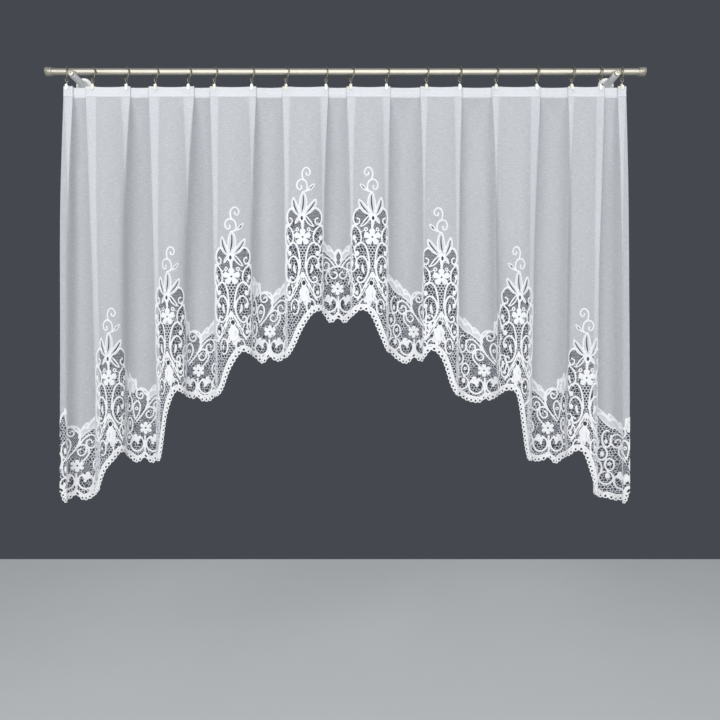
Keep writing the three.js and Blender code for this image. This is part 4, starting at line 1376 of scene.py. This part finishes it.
def laceThread():
    # bright filament yarn, domed along the cords and closely filled inside leaves and petals
    material, tree = newMaterial("lace thread")
    depth = addNode(tree, "ShaderNodeAttribute", {"attribute_name": "threadDepth"})
    cord = addNode(tree, "ShaderNodeAttribute", {"attribute_name": "cordShare"})
    _, threads = threadPattern(tree, 0.9, 0.9)
    tone = addNode(tree, "ShaderNodeMix", {
        "data_type": "RGBA", 6: linear("#e4e5eb"), 7: linear("#f9f9fa")}, {0: cord.outputs["Fac"]})
    filled = addNode(tree, "ShaderNodeMapRange", {"To Min": 0.74, "To Max": 0.98}, {"Value": threads})
    solid = addNode(tree, "ShaderNodeMath", {"operation": "MAXIMUM"}, {
        0: filled.outputs[0], 1: cord.outputs["Fac"]})
    height = addNode(tree, "ShaderNodeMath", {"operation": "MULTIPLY_ADD", 1: 0.35}, {
        0: threads, 2: depth.outputs["Fac"]})
    bump = addNode(tree, "ShaderNodeBump", {"Strength": 0.5, "Distance": 0.0006}, {
        "Height": height.outputs[0]})
    clothShader(tree, tone.outputs[2], solid.outputs[0], bump.outputs[0], 0.25)
    return material


def wovenTape():
    # close woven band behind the heading
    material, tree = newMaterial("woven tape")
    _, threads = threadPattern(tree, 1.3, 1.0)
    tone = addNode(tree, "ShaderNodeMix", {
        "data_type": "RGBA", 6: linear("#e3e5ea"), 7: linear("#f3f4f7")}, {0: threads})
    cover = addNode(tree, "ShaderNodeMapRange", {"To Min": 0.55, "To Max": 0.85}, {"Value": threads})
    bump = addNode(tree, "ShaderNodeBump", {"Strength": 0.5, "Distance": 0.0004}, {"Height": threads})
    clothShader(tree, tone.outputs[2], cover.outputs[0], bump.outputs[0], 0.3)
    return material


def sewingThread():
    # white polyester sewing thread with a soft sheen
    material, tree = newMaterial("sewing thread")
    place = addNode(tree, "ShaderNodeTexCoord").outputs["Object"]
    twist = addNode(tree, "ShaderNodeTexNoise", {"Scale": 900.0}, {"Vector": place})
    tone = addNode(tree, "ShaderNodeMix", {
        "data_type": "RGBA", 6: linear("#e8e9ee"), 7: linear("#ffffff")}, {0: twist.outputs[0]})
    shader = addNode(tree, "ShaderNodeBsdfPrincipled", {"Roughness": 0.6}, {"Base Color": tone.outputs[2]})
    addNode(tree, "ShaderNodeOutputMaterial", links={"Surface": shader.outputs[0]})
    return material


def paleFloor():
    # smooth light floor with a faint mottle
    material, tree = newMaterial("pale floor")
    place = addNode(tree, "ShaderNodeTexCoord").outputs["Object"]
    mottle = addNode(tree, "ShaderNodeTexNoise", {"Scale": 1.4, "Detail": 3.0}, {"Vector": place})
    tone = addNode(tree, "ShaderNodeMix", {
        "data_type": "RGBA", 6: linear("#c3c4c4"), 7: linear("#cbcccc")}, {0: mottle.outputs[0]})
    shader = addNode(tree, "ShaderNodeBsdfPrincipled", {"Roughness": 0.7}, {"Base Color": tone.outputs[2]})
    addNode(tree, "ShaderNodeOutputMaterial", links={"Surface": shader.outputs[0]})
    return material


# Build

nickel, plastic = satinNickel(), clipPlastic()
# the rings are the same satin nickel as the rod; their darker base colour #8d887a is painted shade, standing
# in for the dark reflections on the wire
ringWireShadedDarker = bareSteel("ring wire", "#8d887a", 0.2)
eyeWire = bareSteel("clip eye wire", "#c9c6bd", 0.28)
springWire = bareSteel("dark clip spring", "#45423b", 0.3)
netCloth, laceCloth, tapeCloth, thread = sheerNet(), laceThread(), wovenTape(), sewingThread()

metalPieces = addRodAndCaps(nickel) + addBrackets(nickel)
print("rod and brackets built")
ringPiece = addRings(ringWireShadedDarker)
clipPiece = addClips(plastic, eyeWire, springWire)
print("rings and clips built")
netPiece, netArea = addNet(netCloth)
lacePieces = addLace(laceCloth)
tapePiece = addHeadingTape(tapeCloth)
stitchPiece = addStitches(thread)
print("cloth built:", len(netPiece.data.polygons), [len(piece.data.polygons) for piece in lacePieces])

metalNodes = ["rod", "end_cap_left", "end_cap_right", "bracket_left", "thumb_screw_left", "bracket_right",
              "thumb_screw_right"]
numbers = ["%02d" % number for number in range(1, len(rings) + 1)]
standsFor = [(piece, "satin_nickel", [node]) for piece, node in zip(metalPieces, metalNodes)]
standsFor += [
    (ringPiece, "satin_nickel", ["ring_" + number for number in numbers]),
    (clipPiece, "clip_plastic", ["clip_" + number for number in numbers]),
    (netPiece, "net_lace", ["curtain"]),
    (tapePiece, "tape_cloth", ["heading_tape"]),
    (stitchPiece, "tape_cloth", []),
]
standsFor += [(piece, "net_lace", []) for piece in lacePieces]
for piece, slotName, nodes in standsFor:
    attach(piece, "root")
    if nodes:
        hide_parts(*nodes)

flatWidth, flatLength = drape["width"] * mm, (float(hem["v"].max()) - clothLook["top"]) * mm
cutArea = flatWidth * (float(hem["v"].mean()) - clothLook["top"]) * mm
print("flat cloth", round(flatWidth, 3), "by", round(flatLength, 3), "m, area", round(cutArea, 3),
      "of which plain net", round(netArea, 3))


# Stage, in metres

stageLook = {
    "camera": (0.0435, -2.03, -0.865),  # 1.95 m in front of the rod, below the cloth's middle
    "lens": 32.5,
    "floor": ((-5, -6), (5, 2.0), -2.1),    # near left corner, far right corner and height
}


def addCamera():
    data = bpy.data.cameras.new("camera")
    data.lens, data.sensor_width = stageLook["lens"], 36.0
    data.clip_start, data.clip_end = 0.05, 60.0
    camera = bpy.data.objects.new("camera", data)
    camera.location = stageLook["camera"]
    camera.rotation_euler = (math.pi / 2, 0, 0)
    bpy.context.scene.collection.objects.link(camera)
    bpy.context.scene.camera = camera


def addLight(name, power, size, place, target, hidden, colour="#ffffff"):
    # lamps light the cloth; the cards only show as reflections in the metal
    data = bpy.data.lights.new(name, "AREA")
    data.shape = "RECTANGLE"
    data.size, data.size_y = size
    data.energy = power
    data.color = linear(colour)[:3]
    light = bpy.data.objects.new(name, data)
    light.location = place
    light.rotation_euler = (Vector(target) - Vector(place)).to_track_quat("-Z", "Y").to_euler()
    light.visible_camera = False
    light.visible_glossy = hidden != "glossy"
    light.visible_diffuse = hidden != "diffuse"
    bpy.context.scene.collection.objects.link(light)


def addWorld():
    # soft room light that is dimmer behind the curtain; the camera sees a plain dark grey
    world = bpy.data.worlds.new("studio")
    world.use_nodes = True
    tree = world.node_tree
    tree.nodes.clear()
    place = addNode(tree, "ShaderNodeTexCoord")
    way = addNode(tree, "ShaderNodeSeparateXYZ", links={0: place.outputs["Generated"]})
    dimmer = addNode(tree, "ShaderNodeMapRange", {
        "From Min": -0.3, "From Max": 0.6, "To Min": 0.75, "To Max": 0.3}, {"Value": way.outputs["Y"]})
    light = addNode(tree, "ShaderNodeBackground", {"Color": linear("#dfe2e6")}, {
        "Strength": dimmer.outputs[0]})
    seen = addNode(tree, "ShaderNodeBackground", {"Color": linear("#45494f"), "Strength": 1.0})
    ray = addNode(tree, "ShaderNodeLightPath")
    both = addNode(tree, "ShaderNodeMixShader", links={
        0: ray.outputs["Is Camera Ray"], 1: light.outputs[0], 2: seen.outputs[0]})
    addNode(tree, "ShaderNodeOutputWorld", links={"Surface": both.outputs[0]})
    bpy.context.scene.world = world


def addFloor(material):
    (left, near), (right, far), height = stageLook["floor"]
    points = [(left, near, height), (right, near, height), (right, far, height), (left, far, height)]
    floor = addObject("floor", toMesh("floor", points, [(0, 1, 2, 3)], False), [material])


addFloor(paleFloor())
addWorld()
addCamera()
addLight("key", 80.0, (2.0, 1.4), (-1.5, -3.2, 0.9), (0, -0.1, -0.6), "glossy")
addLight("fill", 42.0, (2.0, 1.6), (2.0, -3.0, 0.3), (0, -0.1, -0.6), "glossy")
addLight("behind", 16.0, (2.4, 1.2), (0.4, 2.4, 0.6), (0, -0.1, -0.7), "glossy", "#eef3ff")
addLight("front card", 68.0, (4.4, 3.3), (0, -2.6, -0.35), (0, 0, -0.35), "diffuse")
addLight("low card", 11.0, (3.2, 0.9), (0, -1.5, -2.05), (0, -1.5, 0), "diffuse")
bpy.context.scene.view_settings.view_transform = "Standard"
